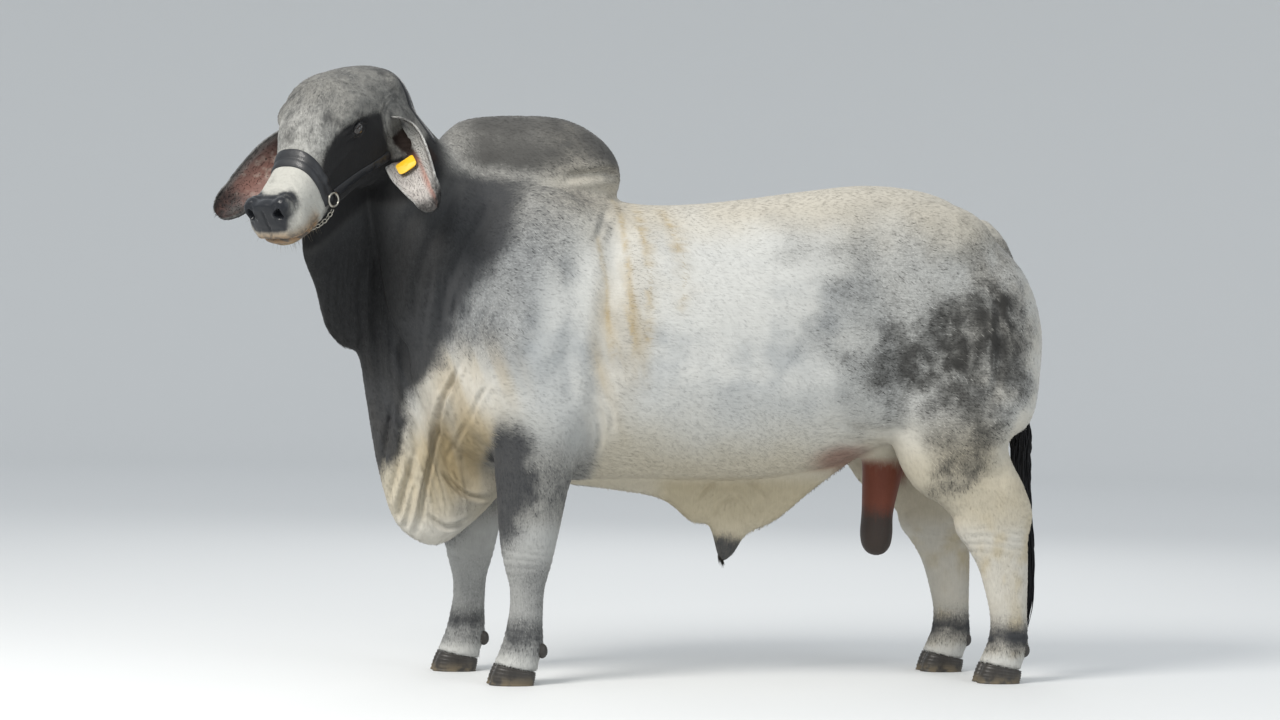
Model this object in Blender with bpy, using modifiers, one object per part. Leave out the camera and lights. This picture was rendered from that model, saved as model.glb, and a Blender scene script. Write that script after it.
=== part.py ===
# A Brahman bull, life size, standing square with its head turned to its left.
# It faces -X, its left side is -Y, and it stands on the floor at z = 0.
import math
import random

import bmesh
import bpy
import numpy as np
from mathutils import Matrix, Vector
from mathutils.bvhtree import BVHTree

# Driving dimensions, in metres
BACK_HEIGHT = 1.416
HUMP_HEIGHT = 1.672
BARREL_HALF_WIDTH = 0.345
FORELEG_X = {"left": -0.364, "right": -0.472}
HINDLEG_X = {"left": 1.119, "right": 1.047}
FORELEG_Y = 0.200
HINDLEG_Y = 0.170
HEAD_ORIGIN = Vector((-0.815, -0.080, 1.707))
HEAD_TURN = math.radians(44)
HEAD_DROP = math.radians(36.8)
HEAD_SCALE = 1.034
EYE_RADIUS = 0.0205
EAR_THICKNESS = 0.0060
STRAP_THICKNESS = 0.0045
TAIL_END = 0.640
SWITCH_TIP = 0.118

GAP = 0.0003
BODY_VOXEL = 0.010
HEAD_VOXEL = 0.0055
BODY_TRIANGLES = 3700
HEAD_TRIANGLES = 2200
SIDES = {"left": -1, "right": 1}

# The head's own axes: forward along the face, up from the forehead, and to its left
HEADING = Vector((-math.cos(HEAD_TURN), -math.sin(HEAD_TURN), 0))
FACE = HEADING * math.cos(HEAD_DROP) - Vector((0, 0, math.sin(HEAD_DROP)))
CROWN = HEADING * math.sin(HEAD_DROP) + Vector((0, 0, math.cos(HEAD_DROP)))
CHEEK = Vector((-HEADING.y, HEADING.x, 0))

# Colours: base colour, roughness, metallic
FINISHES = {
    "coat_grey": ((0.52, 0.51, 0.48), 0.85, 0),
    "coat_dark": ((0.10, 0.10, 0.10), 0.85, 0),
    "coat_pale": ((0.72, 0.69, 0.62), 0.85, 0),
    "skin_tan": ((0.42, 0.16, 0.09), 0.60, 0),
    "hair_black": ((0.03, 0.03, 0.03), 0.70, 0),
    "hoof_horn": ((0.06, 0.055, 0.05), 0.45, 0),
    "eye_dark": ((0.02, 0.012, 0.008), 0.08, 0),
    "leather": ((0.02, 0.022, 0.028), 0.50, 0),
    "steel": ((0.62, 0.60, 0.57), 0.30, 1),
    "tag_yellow": ((0.80, 0.58, 0.04), 0.45, 0),
}


def clear_scene():
    for old in list(bpy.data.objects):
        bpy.data.objects.remove(old, do_unlink=True)


def make_collections():
    for name in ("brahman_bull", "cutters"):
        made = bpy.data.collections.new(name)
        bpy.context.scene.collection.children.link(made)


def finish_of(name):
    found = bpy.data.materials.get(name)
    if found:
        return found
    colour, roughness, metallic = FINISHES[name]
    made = bpy.data.materials.new(name)
    made.use_nodes = True
    shader = made.node_tree.nodes["Principled BSDF"]
    shader.inputs["Base Color"].default_value = (*colour, 1)
    shader.inputs["Roughness"].default_value = roughness
    shader.inputs["Metallic"].default_value = metallic
    return made


def object_of(name, mesh, finish=None, place="brahman_bull"):
    made = bpy.data.objects.new(name, mesh)
    bpy.data.collections[place].objects.link(made)
    if finish:
        mesh.materials.clear()
        mesh.materials.append(finish_of(finish))
        mesh.shade_smooth()
        mesh.set_sharp_from_angle(angle=math.radians(50))
    return made


def helper_of(name, mesh):
    made = object_of(name, mesh, place="cutters")
    made.hide_render = True
    made.display_type = "WIRE"
    return made


def mesh_from(bm, name="shape"):
    bmesh.ops.recalc_face_normals(bm, faces=bm.faces)
    mesh = bpy.data.meshes.new(name)
    bm.to_mesh(mesh)
    bm.free()
    return mesh


def applied(mesh, *modifiers):
    # The mesh after the modifiers, each given as a type and its settings
    work = helper_of("work", mesh)
    for kind, settings in modifiers:
        modifier = work.modifiers.new(kind, kind)
        for key, value in settings.items():
            setattr(modifier, key, value)
    graph = bpy.context.evaluated_depsgraph_get()
    result = bpy.data.meshes.new_from_object(work.evaluated_get(graph))
    bpy.data.objects.remove(work, do_unlink=True)
    return result


def is_closed(mesh):
    bm = bmesh.new()
    bm.from_mesh(mesh)
    good = len(bm.faces) > 3 and all(edge.is_manifold for edge in bm.edges)
    good = good and bm.calc_volume(signed=True) > 0
    bm.free()
    return good


def largest_body(mesh):
    # Only the largest closed surface, so that no scrap or sealed hollow is left
    bm = bmesh.new()
    bm.from_mesh(mesh)
    bm.faces.ensure_lookup_table()
    left = set(bm.faces)
    bodies = []
    while left:
        start = left.pop()
        body = {start}
        front = [start]
        while front:
            face = front.pop()
            for edge in face.edges:
                for other in edge.link_faces:
                    if other in left:
                        left.discard(other)
                        body.add(other)
                        front.append(other)
        bodies.append(body)
    bodies.sort(key=len, reverse=True)
    extra = [face for body in bodies[1:] for face in body]
    bmesh.ops.delete(bm, geom=extra, context="FACES")
    bmesh.ops.triangulate(bm, faces=bm.faces)
    mesh = bpy.data.meshes.new("body")
    bm.to_mesh(mesh)
    bm.free()
    return mesh


def boolean(mesh, other, operation):
    # EXACT first, and MANIFOLD where that leaves an open mesh
    cutter = helper_of("cutter", other)
    result = None
    for solver in ("EXACT", "MANIFOLD"):
        settings = {"operation": operation, "object": cutter, "solver": solver}
        result = applied(mesh, ("BOOLEAN", settings))
        if is_closed(result):
            break
    bpy.data.objects.remove(cutter, do_unlink=True)
    return largest_body(result)


def joined(meshes):
    bm = bmesh.new()
    for mesh in meshes:
        bm.from_mesh(mesh)
    mesh = bpy.data.meshes.new("joined")
    bm.to_mesh(mesh)
    bm.free()
    return mesh


def united(meshes, name):
    # One closed body from many overlapping ones
    group = bpy.data.collections.new(name)
    bpy.context.scene.collection.children.link(group)
    for mesh in meshes[1:]:
        piece = bpy.data.objects.new(name, mesh)
        piece.hide_render = True
        group.objects.link(piece)
    result = None
    for solver in ("EXACT", "MANIFOLD"):
        settings = {"operation": "UNION", "operand_type": "COLLECTION", "collection": group, "solver": solver}
        result = applied(meshes[0], ("BOOLEAN", settings))
        if is_closed(result):
            break
    for piece in list(group.objects):
        bpy.data.objects.remove(piece, do_unlink=True)
    bpy.data.collections.remove(group)
    return largest_body(result)


def fused(meshes, voxel, rounds, softness=None):
    # Overlapping shapes melted into one skin, then relaxed most where softness is 1
    remesh = ("REMESH", {"mode": "VOXEL", "voxel_size": voxel, "use_smooth_shade": True})
    mesh = applied(joined(meshes), remesh, ("SMOOTH", {"factor": 0.5, "iterations": 4}))
    points = points_of(mesh)
    weight = 0.5 * (softness(points) if softness else np.ones(len(points)))[:, None]
    ends = np.empty(len(mesh.edges) * 2, np.int32)
    mesh.edges.foreach_get("vertices", ends)
    a, b = ends.reshape(-1, 2).T
    degree = np.bincount(ends, minlength=len(points))[:, None]
    for _ in range(rounds):
        total = np.stack(
            [
                np.bincount(a, points[b, k], len(points)) + np.bincount(b, points[a, k], len(points))
                for k in range(3)
            ],
            axis=1,
        )
        points += weight * (total / degree - points)
    mesh.vertices.foreach_set("co", points.astype(np.float32).ravel())
    mesh.update()
    return mesh


def ramp(values, low, high):
    # 0 below the low value and 1 above the high one, with a soft step between
    t = np.clip((values - low) / (high - low), 0, 1)
    return t * t * (3 - 2 * t)


def body_softness(points):
    # The trunk and shoulders are relaxed, the head, feet and hanging skin keep their form
    x, z = points[:, 0], points[:, 2]
    head = ramp(np.abs((points - np.array(HEAD_ORIGIN)) @ np.array(FACE) - 0.35), 0.30, 0.45)
    soft = ramp(z, 0.55, 0.80) * np.maximum(head, ramp(x, -0.75, -0.60))
    return 0.06 + 0.94 * soft


def from_path(points, path):
    # Distance of each point, seen from the side, to a line of x, z points
    best = np.full(len(points), 1e9)
    flat = points[:, [0, 2]]
    path = smooth_rows(path, 6 * len(path))
    for a, b in zip(path, path[1:]):
        way = b - a
        t = np.clip((flat - a) @ way / (way @ way), 0, 1)[:, None]
        best = np.minimum(best, np.linalg.norm(flat - a - t * way, axis=1))
    return best


# Folds and hollows on both flanks: depth inwards, width, and the line they follow
FOLDS = (
    (0.016, 0.022, ((-0.700, 1.420), (-0.790, 1.200), (-0.790, 0.950), (-0.745, 0.700), (-0.680, 0.480))),
    (0.016, 0.022, ((-0.600, 1.440), (-0.700, 1.200), (-0.715, 0.950), (-0.680, 0.720), (-0.620, 0.500))),
    (0.014, 0.020, ((-0.500, 1.380), (-0.620, 1.150), (-0.640, 0.900), (-0.600, 0.680))),
    (0.018, 0.045, ((-0.130, 1.300), (-0.170, 1.080), (-0.190, 0.860), (-0.210, 0.720))),
    (0.012, 0.050, ((0.640, 1.280), (0.700, 1.080), (0.740, 0.880))),
    (0.012, 0.030, ((0.760, 0.760), (0.850, 0.700), (0.960, 0.640), (1.060, 0.620))),
    (-0.010, 0.040, ((-0.500, 1.280), (-0.420, 1.080), (-0.470, 0.880))),
    (-0.010, 0.060, ((0.060, 0.900), (0.300, 0.860), (0.500, 0.900))),
)


def with_folds(mesh):
    points = points_of(mesh)
    normals = normals_of(mesh)
    side_on = ramp(np.abs(normals[:, 1]), 0.25, 0.75)
    press = np.zeros(len(points))
    for depth, width, path in FOLDS:
        press += depth * np.exp(-((from_path(points, path) / width) ** 2))
    mesh.vertices.foreach_set("co", (points - normals * (press * side_on)[:, None]).astype(np.float32).ravel())
    mesh.update()
    return mesh


def thinned(mesh, triangles):
    mesh = applied(mesh, ("TRIANGULATE", {}))
    ratio = min(1.0, triangles / len(mesh.polygons))
    return applied(mesh, ("DECIMATE", {"decimate_type": "COLLAPSE", "ratio": ratio}))


def points_of(mesh):
    points = np.empty(len(mesh.vertices) * 3, np.float32)
    mesh.vertices.foreach_get("co", points)
    return points.reshape(-1, 3).astype(float)


def normals_of(mesh):
    normals = np.empty(len(mesh.vertices) * 3, np.float32)
    mesh.vertex_normals.foreach_get("vector", normals)
    return normals.reshape(-1, 3).astype(float)


def inflated(mesh, distance):
    # Every point moved outwards along its normal
    copy = mesh.copy()
    moved = points_of(copy) + normals_of(copy) * distance
    copy.vertices.foreach_set("co", moved.astype(np.float32).ravel())
    copy.update()
    return copy


def clear_of(mesh, other):
    # The mesh with room left for its neighbour
    return boolean(mesh, inflated(other, GAP), "DIFFERENCE")


def smooth_rows(rows, count):
    # Rows read at even steps along a Catmull-Rom curve through the given ones
    rows = np.asarray(rows, float)
    at = np.linspace(0, len(rows) - 1, count)
    i = np.clip(at.astype(int), 0, len(rows) - 2)
    t = (at - i)[:, None]
    padded = np.vstack([2 * rows[0] - rows[1], rows, 2 * rows[-1] - rows[-2]])
    a, b, c, d = (padded[i + k] for k in range(4))
    return b + 0.5 * t * (c - a + t * (2 * a - 5 * b + 4 * c - d + t * (3 * (b - c) + d - a)))


def skinned(rings):
    # A closed skin over rings of points, with a flat cap at each end
    bm = bmesh.new()
    grid = [[bm.verts.new(point) for point in ring] for ring in rings]
    count = len(grid[0])
    for near, far in zip(grid, grid[1:]):
        for k in range(count):
            n = (k + 1) % count
            bm.faces.new((near[k], near[n], far[n], far[k]))
    bm.faces.new(grid[0])
    bm.faces.new(grid[-1])
    return mesh_from(bm)


def oval(centre, across, up, half_width, above, below, power=2.0, sides=24):
    # A ring of points: a rounded oval whose upper and lower halves may differ
    turn = np.linspace(0, 2 * np.pi, sides, endpoint=False)
    c, s = np.cos(turn), np.sin(turn)
    c = np.sign(c) * np.abs(c) ** (2 / power)
    s = np.sign(s) * np.abs(s) ** (2 / power)
    height = np.where(s > 0, above, below)
    return np.asarray(centre) + np.outer(c * half_width, across) + np.outer(s * height, up)


def loft(rows, up, count=24, sides=24, power=2.0, facing=None):
    # Rows are x, y, z, half width, half height above and half height below the path.
    # Rings stand square to the path, or all face one way.
    rows = smooth_rows(rows, count)
    path = rows[:, :3]
    along = np.gradient(path, axis=0) if facing is None else np.tile(np.array(facing, float), (count, 1))
    rings = []
    for row, way in zip(rows, along):
        way = way / np.linalg.norm(way)
        across = np.cross(way, up)
        across /= np.linalg.norm(across)
        level = np.cross(across, way)
        rings.append(oval(row[:3], across, level, row[3], row[4], row[5], power, sides))
    return skinned(rings)


def curtain(rows, count=40, sides=20):
    # A hanging fold: rows are its upper point, its lower edge and its half thickness
    rows = smooth_rows(rows, count)
    along = np.gradient((rows[:, :3] + rows[:, 3:6]) / 2, axis=0)
    rings = []
    for row, way in zip(rows, along):
        centre = (row[:3] + row[3:6]) / 2
        fall = (row[3:6] - row[:3]) / 2
        across = np.cross(way, fall)
        across /= np.linalg.norm(across)
        rings.append(oval(centre, across, fall, row[6], 1, 1, 2.4, sides))
    return skinned(rings)


def ball(centre, radii, turn=None, segments=24, rings=14):
    bm = bmesh.new()
    matrix = Matrix.Translation(centre) @ (turn or Matrix()) @ Matrix.Diagonal((*radii, 1))
    bmesh.ops.create_uvsphere(bm, u_segments=segments, v_segments=rings, radius=1, matrix=matrix)
    return mesh_from(bm)


def block(low, high, turn=None, about=(0, 0, 0)):
    # A box between two corners, turned about a point
    size = [b - a for a, b in zip(low, high)]
    middle = Vector([(a + b) / 2 for a, b in zip(low, high)])
    bm = bmesh.new()
    pivot = Matrix.Translation(about)
    matrix = pivot @ (turn or Matrix()) @ pivot.inverted() @ Matrix.Translation(middle)
    bmesh.ops.create_cube(bm, size=1, matrix=matrix @ Matrix.Diagonal((*size, 1)))
    return mesh_from(bm)


def head_point(f, u, l):
    return HEAD_ORIGIN + HEAD_SCALE * (f * FACE + u * CROWN + l * CHEEK)


def head_matrix():
    axes = Matrix((FACE, CROWN, CHEEK)).transposed().to_4x4()
    return Matrix.Translation(HEAD_ORIGIN) @ axes @ Matrix.Diagonal((*(HEAD_SCALE,) * 3, 1))


def in_head(mesh):
    # A shape made in the head's own axes, set in its place
    mesh.transform(head_matrix())
    bm = bmesh.new()
    bm.from_mesh(mesh)
    return mesh_from(bm)


def pair(centre, radii, turn=0.0):
    # The same ball on both sides of the head, turned about the face's axis up
    made = []
    for side in (1, -1):
        spin = Matrix.Rotation(turn * side, 4, "Y")
        made.append(ball((centre[0], centre[1], centre[2] * side), radii, spin))
    return made


# Head blocks, in the head's own axes: forward, up, left
# Each row: forward, top, bottom, half width
HEAD_ROWS = (
    (-0.050, -0.080, -0.130, 0.060),
    (-0.020, -0.010, -0.160, 0.082),
    (0.030, 0.086, -0.168, 0.104),
    (0.100, 0.138, -0.168, 0.122),
    (0.170, 0.164, -0.166, 0.130),
    (0.230, 0.170, -0.160, 0.127),
    (0.290, 0.150, -0.150, 0.110),
    (0.350, 0.100, -0.140, 0.094),
    (0.420, 0.058, -0.132, 0.082),
    (0.490, 0.038, -0.130, 0.080),
    (0.540, 0.026, -0.126, 0.083),
    (0.580, 0.002, -0.114, 0.078),
    (0.604, -0.030, -0.090, 0.055),
)


def head_blocks():
    rows = [(f, (top + low) / 2, 0, wide, (top - low) / 2, (top - low) / 2) for f, top, low, wide in HEAD_ROWS]
    shapes = [loft(rows, (0, 1, 0), count=36, sides=32, power=2.6)]
    shapes.append(ball((0.210, 0.080, 0), (0.130, 0.102, 0.128)))
    shapes += pair((0.240, 0.092, 0.086), (0.070, 0.044, 0.050))
    shapes += pair((0.255, 0.044, 0.096), (0.046, 0.036, 0.030))
    shapes += pair((0.160, -0.085, 0.080), (0.095, 0.072, 0.045))
    shapes += pair((0.030, 0.052, 0.082), (0.036, 0.036, 0.034))
    shapes += pair((0.090, -0.020, 0.104), (0.040, 0.036, 0.026))
    shapes += pair((0.566, 0.000, 0.050), (0.036, 0.032, 0.030))
    shapes += pair((0.552, -0.056, 0.052), (0.046, 0.040, 0.038))
    shapes.append(ball((0.574, -0.006, 0), (0.034, 0.034, 0.052)))
    shapes.append(ball((0.545, -0.100, 0), (0.050, 0.028, 0.060)))
    return [in_head(shape) for shape in shapes]


def trunk():
    # x, top, bottom, half width
    wide = BARREL_HALF_WIDTH
    rows = (
        (-0.706, 1.150, 0.800, 0.10),
        (-0.614, 1.380, 0.690, 0.22),
        (-0.491, 1.500, 0.630, 0.29),
        (-0.368, 1.500, 0.600, 0.325),
        (-0.246, 1.470, 0.585, wide - 0.010),
        (-0.123, 1.432, 0.590, wide - 0.008),
        (0.000, BACK_HEIGHT, 0.595, wide - 0.005),
        (0.184, BACK_HEIGHT + 0.010, 0.590, wide),
        (0.368, BACK_HEIGHT + 0.037, 0.597, wide),
        (0.553, BACK_HEIGHT + 0.066, 0.630, wide - 0.015),
        (0.675, BACK_HEIGHT + 0.081, 0.672, wide - 0.030),
        (0.798, BACK_HEIGHT + 0.077, 0.715, wide - 0.045),
        (0.921, BACK_HEIGHT + 0.052, 0.760, wide - 0.065),
        (1.020, BACK_HEIGHT - 0.014, 0.780, 0.250),
        (1.090, BACK_HEIGHT - 0.080, 0.810, 0.205),
        (1.140, 1.230, 0.850, 0.150),
        (1.165, 1.110, 0.900, 0.080),
    )
    stations = [(x, 0, (top + low) / 2, half, (top - low) / 2, (top - low) / 2) for x, top, low, half in rows]
    return loft(stations, (0, 0, 1), count=44, sides=40, power=2.25, facing=(1, 0, 0))


def hump():
    # x, middle height, half width, half height
    top = HUMP_HEIGHT
    rows = (
        (-0.640, 1.470, 0.10, 0.100),
        (-0.570, top - 0.160, 0.125, 0.135),
        (-0.470, top - 0.160, 0.140, 0.155),
        (-0.360, top - 0.158, 0.155, 0.158),
        (-0.260, top - 0.158, 0.150, 0.155),
        (-0.180, top - 0.160, 0.135, 0.128),
        (-0.120, top - 0.165, 0.105, 0.090),
        (-0.085, top - 0.178, 0.065, 0.058),
        (-0.070, top - 0.185, 0.025, 0.022),
    )
    stations = [(x, 0, z, w, h, h) for x, z, w, h in rows]
    return loft(stations, (0, 0, 1), count=30, sides=32, facing=(1, 0, 0))


def neck():
    # Path point, half width across, half depth towards the crest and towards the throat
    base = head_point(0.05, -0.03, 0)
    rows = (
        (*base, 0.095, 0.010, 0.115),
        (-0.785, -0.070, 1.560, 0.125, 0.020, 0.160),
        (-0.705, -0.045, 1.440, 0.165, 0.110, 0.210),
        (-0.600, -0.015, 1.310, 0.220, 0.270, 0.280),
        (-0.460, 0.0, 1.170, 0.270, 0.340, 0.340),
        (-0.320, 0.0, 1.100, 0.290, 0.330, 0.340),
    )
    return loft(rows, (-0.55, 0, 0.83), count=26, sides=32, power=2.1)


def dewlap():
    # Upper point, lower edge, half thickness, from the chin back to the brisket
    chin = head_point(0.42, -0.09, 0)
    jaw = head_point(0.32, -0.08, 0)
    throat = head_point(0.20, -0.08, 0)
    rows = (
        (*chin, *head_point(0.44, -0.160, 0), 0.024),
        (*jaw, -1.030, -0.240, 1.225, 0.034),
        (*throat, -0.985, -0.160, 1.125, 0.042),
        (-0.770, -0.040, 1.400, -0.950, -0.085, 1.020, 0.048),
        (-0.730, -0.020, 1.250, -0.905, -0.045, 0.972, 0.052),
        (-0.700, -0.005, 1.120, -0.850, -0.020, 0.945, 0.058),
        (-0.650, 0.0, 1.000, -0.820, -0.010, 0.800, 0.070),
        (-0.600, 0.0, 0.900, -0.785, -0.010, 0.620, 0.078),
        (-0.560, 0.0, 0.820, -0.725, -0.010, 0.450, 0.072),
        (-0.520, 0.0, 0.760, -0.610, -0.005, 0.388, 0.062),
        (-0.460, 0.0, 0.720, -0.500, 0.0, 0.455, 0.050),
        (-0.400, 0.0, 0.700, -0.400, 0.0, 0.560, 0.040),
    )
    return curtain(rows, count=56)


def sheath():
    # The pendulous fold under the belly, with the orifice at its lowest point
    rows = (
        (-0.280, 0, 0.700, -0.280, 0, 0.580, 0.030),
        (-0.100, 0, 0.700, -0.100, 0, 0.562, 0.040),
        (0.070, 0, 0.700, 0.070, 0, 0.534, 0.045),
        (0.160, 0, 0.690, 0.165, 0, 0.466, 0.044),
        (0.215, 0, 0.680, 0.225, 0, 0.450, 0.040),
        (0.262, 0, 0.660, 0.258, 0, 0.350, 0.034),
        (0.310, 0, 0.670, 0.298, 0, 0.366, 0.036),
        (0.350, 0, 0.690, 0.340, 0, 0.428, 0.040),
        (0.430, 0, 0.700, 0.430, 0, 0.472, 0.042),
        (0.550, 0, 0.720, 0.550, 0, 0.570, 0.036),
        (0.690, 0, 0.740, 0.690, 0, 0.668, 0.028),
    )
    return curtain(rows, count=44)


def scrotum():
    # z, x, half length, half width
    rows = (
        (0.740, 0.772, 0.080, 0.078),
        (0.660, 0.767, 0.070, 0.068),
        (0.580, 0.758, 0.058, 0.060),
        (0.500, 0.750, 0.049, 0.056),
        (0.440, 0.748, 0.051, 0.058),
        (0.400, 0.748, 0.045, 0.050),
        (0.376, 0.748, 0.028, 0.032),
        (0.368, 0.748, 0.008, 0.010),
    )
    return loft([(x, 0, z, w, h, h) for z, x, h, w in rows], (-1, 0, 0), count=22, sides=24)


def leg(x, y, rows):
    # Rows: height, shift back, half length, half width, shift outwards
    side = math.copysign(1, y)
    stations = [(x + back, y + side * out, z, w, h, h) for z, back, h, w, out in rows]
    return loft(stations, (-1, 0, 0), count=44, sides=24, power=2.15)


FORELEG_ROWS = (
    (1.050, 0.000, 0.160, 0.100, -0.010),
    (0.950, 0.000, 0.170, 0.105, -0.005),
    (0.820, 0.010, 0.160, 0.108, 0.000),
    (0.710, 0.022, 0.136, 0.100, 0.000),
    (0.623, 0.012, 0.119, 0.090, 0.000),
    (0.565, 0.008, 0.106, 0.082, 0.000),
    (0.477, 0.003, 0.094, 0.072, 0.000),
    (0.407, 0.000, 0.083, 0.069, 0.000),
    (0.361, 0.000, 0.074, 0.064, 0.000),
    (0.317, 0.000, 0.062, 0.054, 0.000),
    (0.279, 0.000, 0.052, 0.046, 0.000),
    (0.218, -0.001, 0.050, 0.043, 0.000),
    (0.172, -0.004, 0.054, 0.047, 0.000),
    (0.122, -0.008, 0.060, 0.056, 0.000),
    (0.085, -0.018, 0.060, 0.059, 0.000),
    (0.050, -0.030, 0.062, 0.061, 0.000),
    (0.010, -0.042, 0.062, 0.061, 0.000),
)

HINDLEG_ROWS = (
    (1.050, -0.140, 0.220, 0.110, 0.000),
    (0.940, -0.155, 0.240, 0.125, 0.000),
    (0.852, -0.167, 0.240, 0.120, 0.000),
    (0.761, -0.178, 0.215, 0.105, 0.000),
    (0.683, -0.165, 0.180, 0.090, 0.000),
    (0.613, -0.117, 0.133, 0.076, 0.000),
    (0.550, -0.074, 0.122, 0.066, 0.000),
    (0.480, -0.051, 0.124, 0.060, 0.000),
    (0.420, -0.036, 0.097, 0.054, 0.000),
    (0.369, -0.023, 0.082, 0.048, 0.000),
    (0.305, -0.012, 0.071, 0.043, 0.000),
    (0.200, 0.000, 0.058, 0.042, 0.000),
    (0.118, 0.000, 0.062, 0.056, 0.000),
    (0.085, -0.012, 0.060, 0.058, 0.000),
    (0.050, -0.026, 0.060, 0.060, 0.000),
    (0.010, -0.038, 0.060, 0.060, 0.000),
)


def limb_blocks():
    shapes = []
    for side, way in SIDES.items():
        shapes.append(leg(FORELEG_X[side], way * FORELEG_Y, FORELEG_ROWS))
        shapes.append(leg(HINDLEG_X[side], way * HINDLEG_Y, HINDLEG_ROWS))
        lag = FORELEG_X[side] - FORELEG_X["left"]
        shapes.append(ball((-0.340 + lag / 2, way * 0.210, 1.080), (0.230, 0.125, 0.380)))
        shapes.append(ball((-0.390 + lag, way * 0.205, 0.850), (0.190, 0.110, 0.190)))
        step = HINDLEG_X[side] - HINDLEG_X["left"]
        shapes.append(ball((0.975 + step / 2, way * 0.155, 1.010), (0.240, 0.140, 0.340)))
        shapes.append(ball((0.840 + step / 2, way * 0.170, 1.300), (0.220, 0.120, 0.150)))
        shapes.append(ball((0.860 + step / 2, way * 0.165, 0.830), (0.150, 0.110, 0.170)))
    return shapes


def tail():
    # The dock, from the croup down between the buttocks: x, z, radius
    rows = (
        (0.960, 1.380, 0.040),
        (1.040, 1.368, 0.046),
        (1.105, 1.320, 0.042),
        (1.158, 1.220, 0.034),
        (1.190, 1.110, 0.027),
        (1.206, 0.980, 0.023),
        (1.209, 0.850, 0.020),
        (1.209, 0.740, 0.018),
        (1.206, TAIL_END - 0.020, 0.016),
    )
    stations = [(x, 0, z, r, r, r) for x, z, r in rows]
    dock = loft(stations, (1, 0, 0.4), count=24, sides=10)
    return boolean(dock, block((1.0, -0.1, 0), (1.4, 0.1, TAIL_END)), "DIFFERENCE")


def tube(points, radii, sides=6):
    # A tapering tube through a few points
    rows = smooth_rows([(*point, radius) for point, radius in zip(points, radii)], len(points) + 2)
    rings = []
    along = np.gradient(rows[:, :3], axis=0)
    level = np.array((0.31, 0.17, 0.93))
    for row, way in zip(rows, along):
        across = np.cross(way, level)
        across /= np.linalg.norm(across)
        upward = np.cross(across, way / np.linalg.norm(way))
        rings.append(oval(row[:3], across, upward, row[3], row[3], row[3], 2, sides))
    return skinned(rings)


# The switch: a short core, and locks that root on it and hang past its end
SWITCH_CORE = ((1.206, 0.660, 0.016), (1.208, 0.580, 0.021), (1.214, 0.480, 0.020), (1.220, 0.395, 0.010))
SWITCH_LOCKS = 25
LOCK_SHAPE = (
    (0.0, 0.0090, 0.0045),
    (0.25, 0.0125, 0.0050),
    (0.55, 0.0115, 0.0042),
    (0.82, 0.0070, 0.0030),
    (1.0, 0.0018, 0.0014),
)


def switch_lock(chance, turn, root):
    # One flat tapered lock, bent outwards a little and then in again towards the tip
    out = Vector((math.cos(turn), math.sin(turn), 0))
    side = Vector((-out.y, out.x, 0))
    core = smooth_rows(SWITCH_CORE, 60)
    x, z, r = (float(v) for v in core[int(np.argmin(np.abs(core[:, 1] - root)))])
    tip = SWITCH_TIP + chance.uniform(0.0, 0.24) * (0.45 + 0.55 * (root - 0.40) / 0.22)
    spread = chance.uniform(0.004, 0.016)
    sway = chance.uniform(-0.014, 0.014)
    twist = chance.uniform(-0.5, 0.5)
    rings = []
    for t, wide, deep in LOCK_SHAPE:
        fall = z - (z - tip) * t
        reach = (r - 0.003) * (1 - 0.75 * t) + spread * math.sin(2.4 * t)
        drift = sway * math.sin(2.6 * t) + 0.010 * t * (0.5 - abs(turn / math.pi - 1))
        centre = Vector((x + 0.020 * t, 0, fall)) + out * reach + side * drift
        across = (side * math.cos(twist * t) + out * math.sin(twist * t)).normalized()
        depth = across.cross(Vector((0, 0, 1)))
        corners = ((wide, 0), (0, deep), (-wide, 0), (0, -deep))
        rings.append([centre + across * a + depth * b for a, b in corners])
    return skinned(rings)


def tail_switch():
    chance = random.Random(7)
    stations = [(x, 0, z, r, r, r) for x, z, r in SWITCH_CORE]
    shapes = [loft(stations, (1, 0, 0), count=7, sides=9)]
    for k in range(SWITCH_LOCKS):
        turn = (k * 2.39996 + chance.uniform(-0.15, 0.15)) % (2 * math.pi)
        root = 0.600 - 0.190 * k / SWITCH_LOCKS
        shapes.append(switch_lock(chance, turn, root))
    above = block((1.0, -0.1, TAIL_END - GAP), (1.4, 0.1, 1))
    return boolean(united(shapes, "locks"), above, "DIFFERENCE")


def torus(centre, normal, major, minor, stretch=1.0, turns=12, sides=5):
    bpy.ops.mesh.primitive_torus_add(
        major_radius=major, minor_radius=minor, major_segments=turns, minor_segments=sides
    )
    made = bpy.context.object
    mesh = made.data.copy()
    bpy.data.objects.remove(made, do_unlink=True)
    points = points_of(mesh)
    points[:, 0] += np.sign(points[:, 0]) * major * (stretch - 1)
    mesh.vertices.foreach_set("co", points.astype(np.float32).ravel())
    aim = Vector(normal).to_track_quat("Z", "Y").to_matrix().to_4x4()
    mesh.transform(Matrix.Translation(centre) @ aim)
    return mesh


class Surface:
    # The finished head, read by rays cast outwards from inside it
    def __init__(self, mesh):
        bm = bmesh.new()
        bm.from_mesh(mesh)
        self.tree = BVHTree.FromBMesh(bm)
        bm.free()

    def out(self, f, u, l, way, lift=0.0):
        start = head_point(f, u, l)
        aim = (way[0] * FACE + way[1] * CROWN + way[2] * CHEEK).normalized()
        far = start + aim * 0.6
        hit = self.tree.ray_cast(far, -aim)[0]
        return (hit or start) + aim * lift

    def around(self, f, u, angle, lift=0.0):
        # From the axis along the face: angle 0 is up, and 90 degrees is to the head's left
        return self.out(f, u, 0, (0, math.cos(angle), math.sin(angle)), lift)


EYE_AT = (0.255, 0.046, 0.113)
NOSTRIL_AT = (0.590, -0.006, 0.042)
MOUTH_UP = -0.088


def eye_centre(side):
    return head_point(EYE_AT[0], EYE_AT[1], -SIDES[side] * EYE_AT[2])


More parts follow.
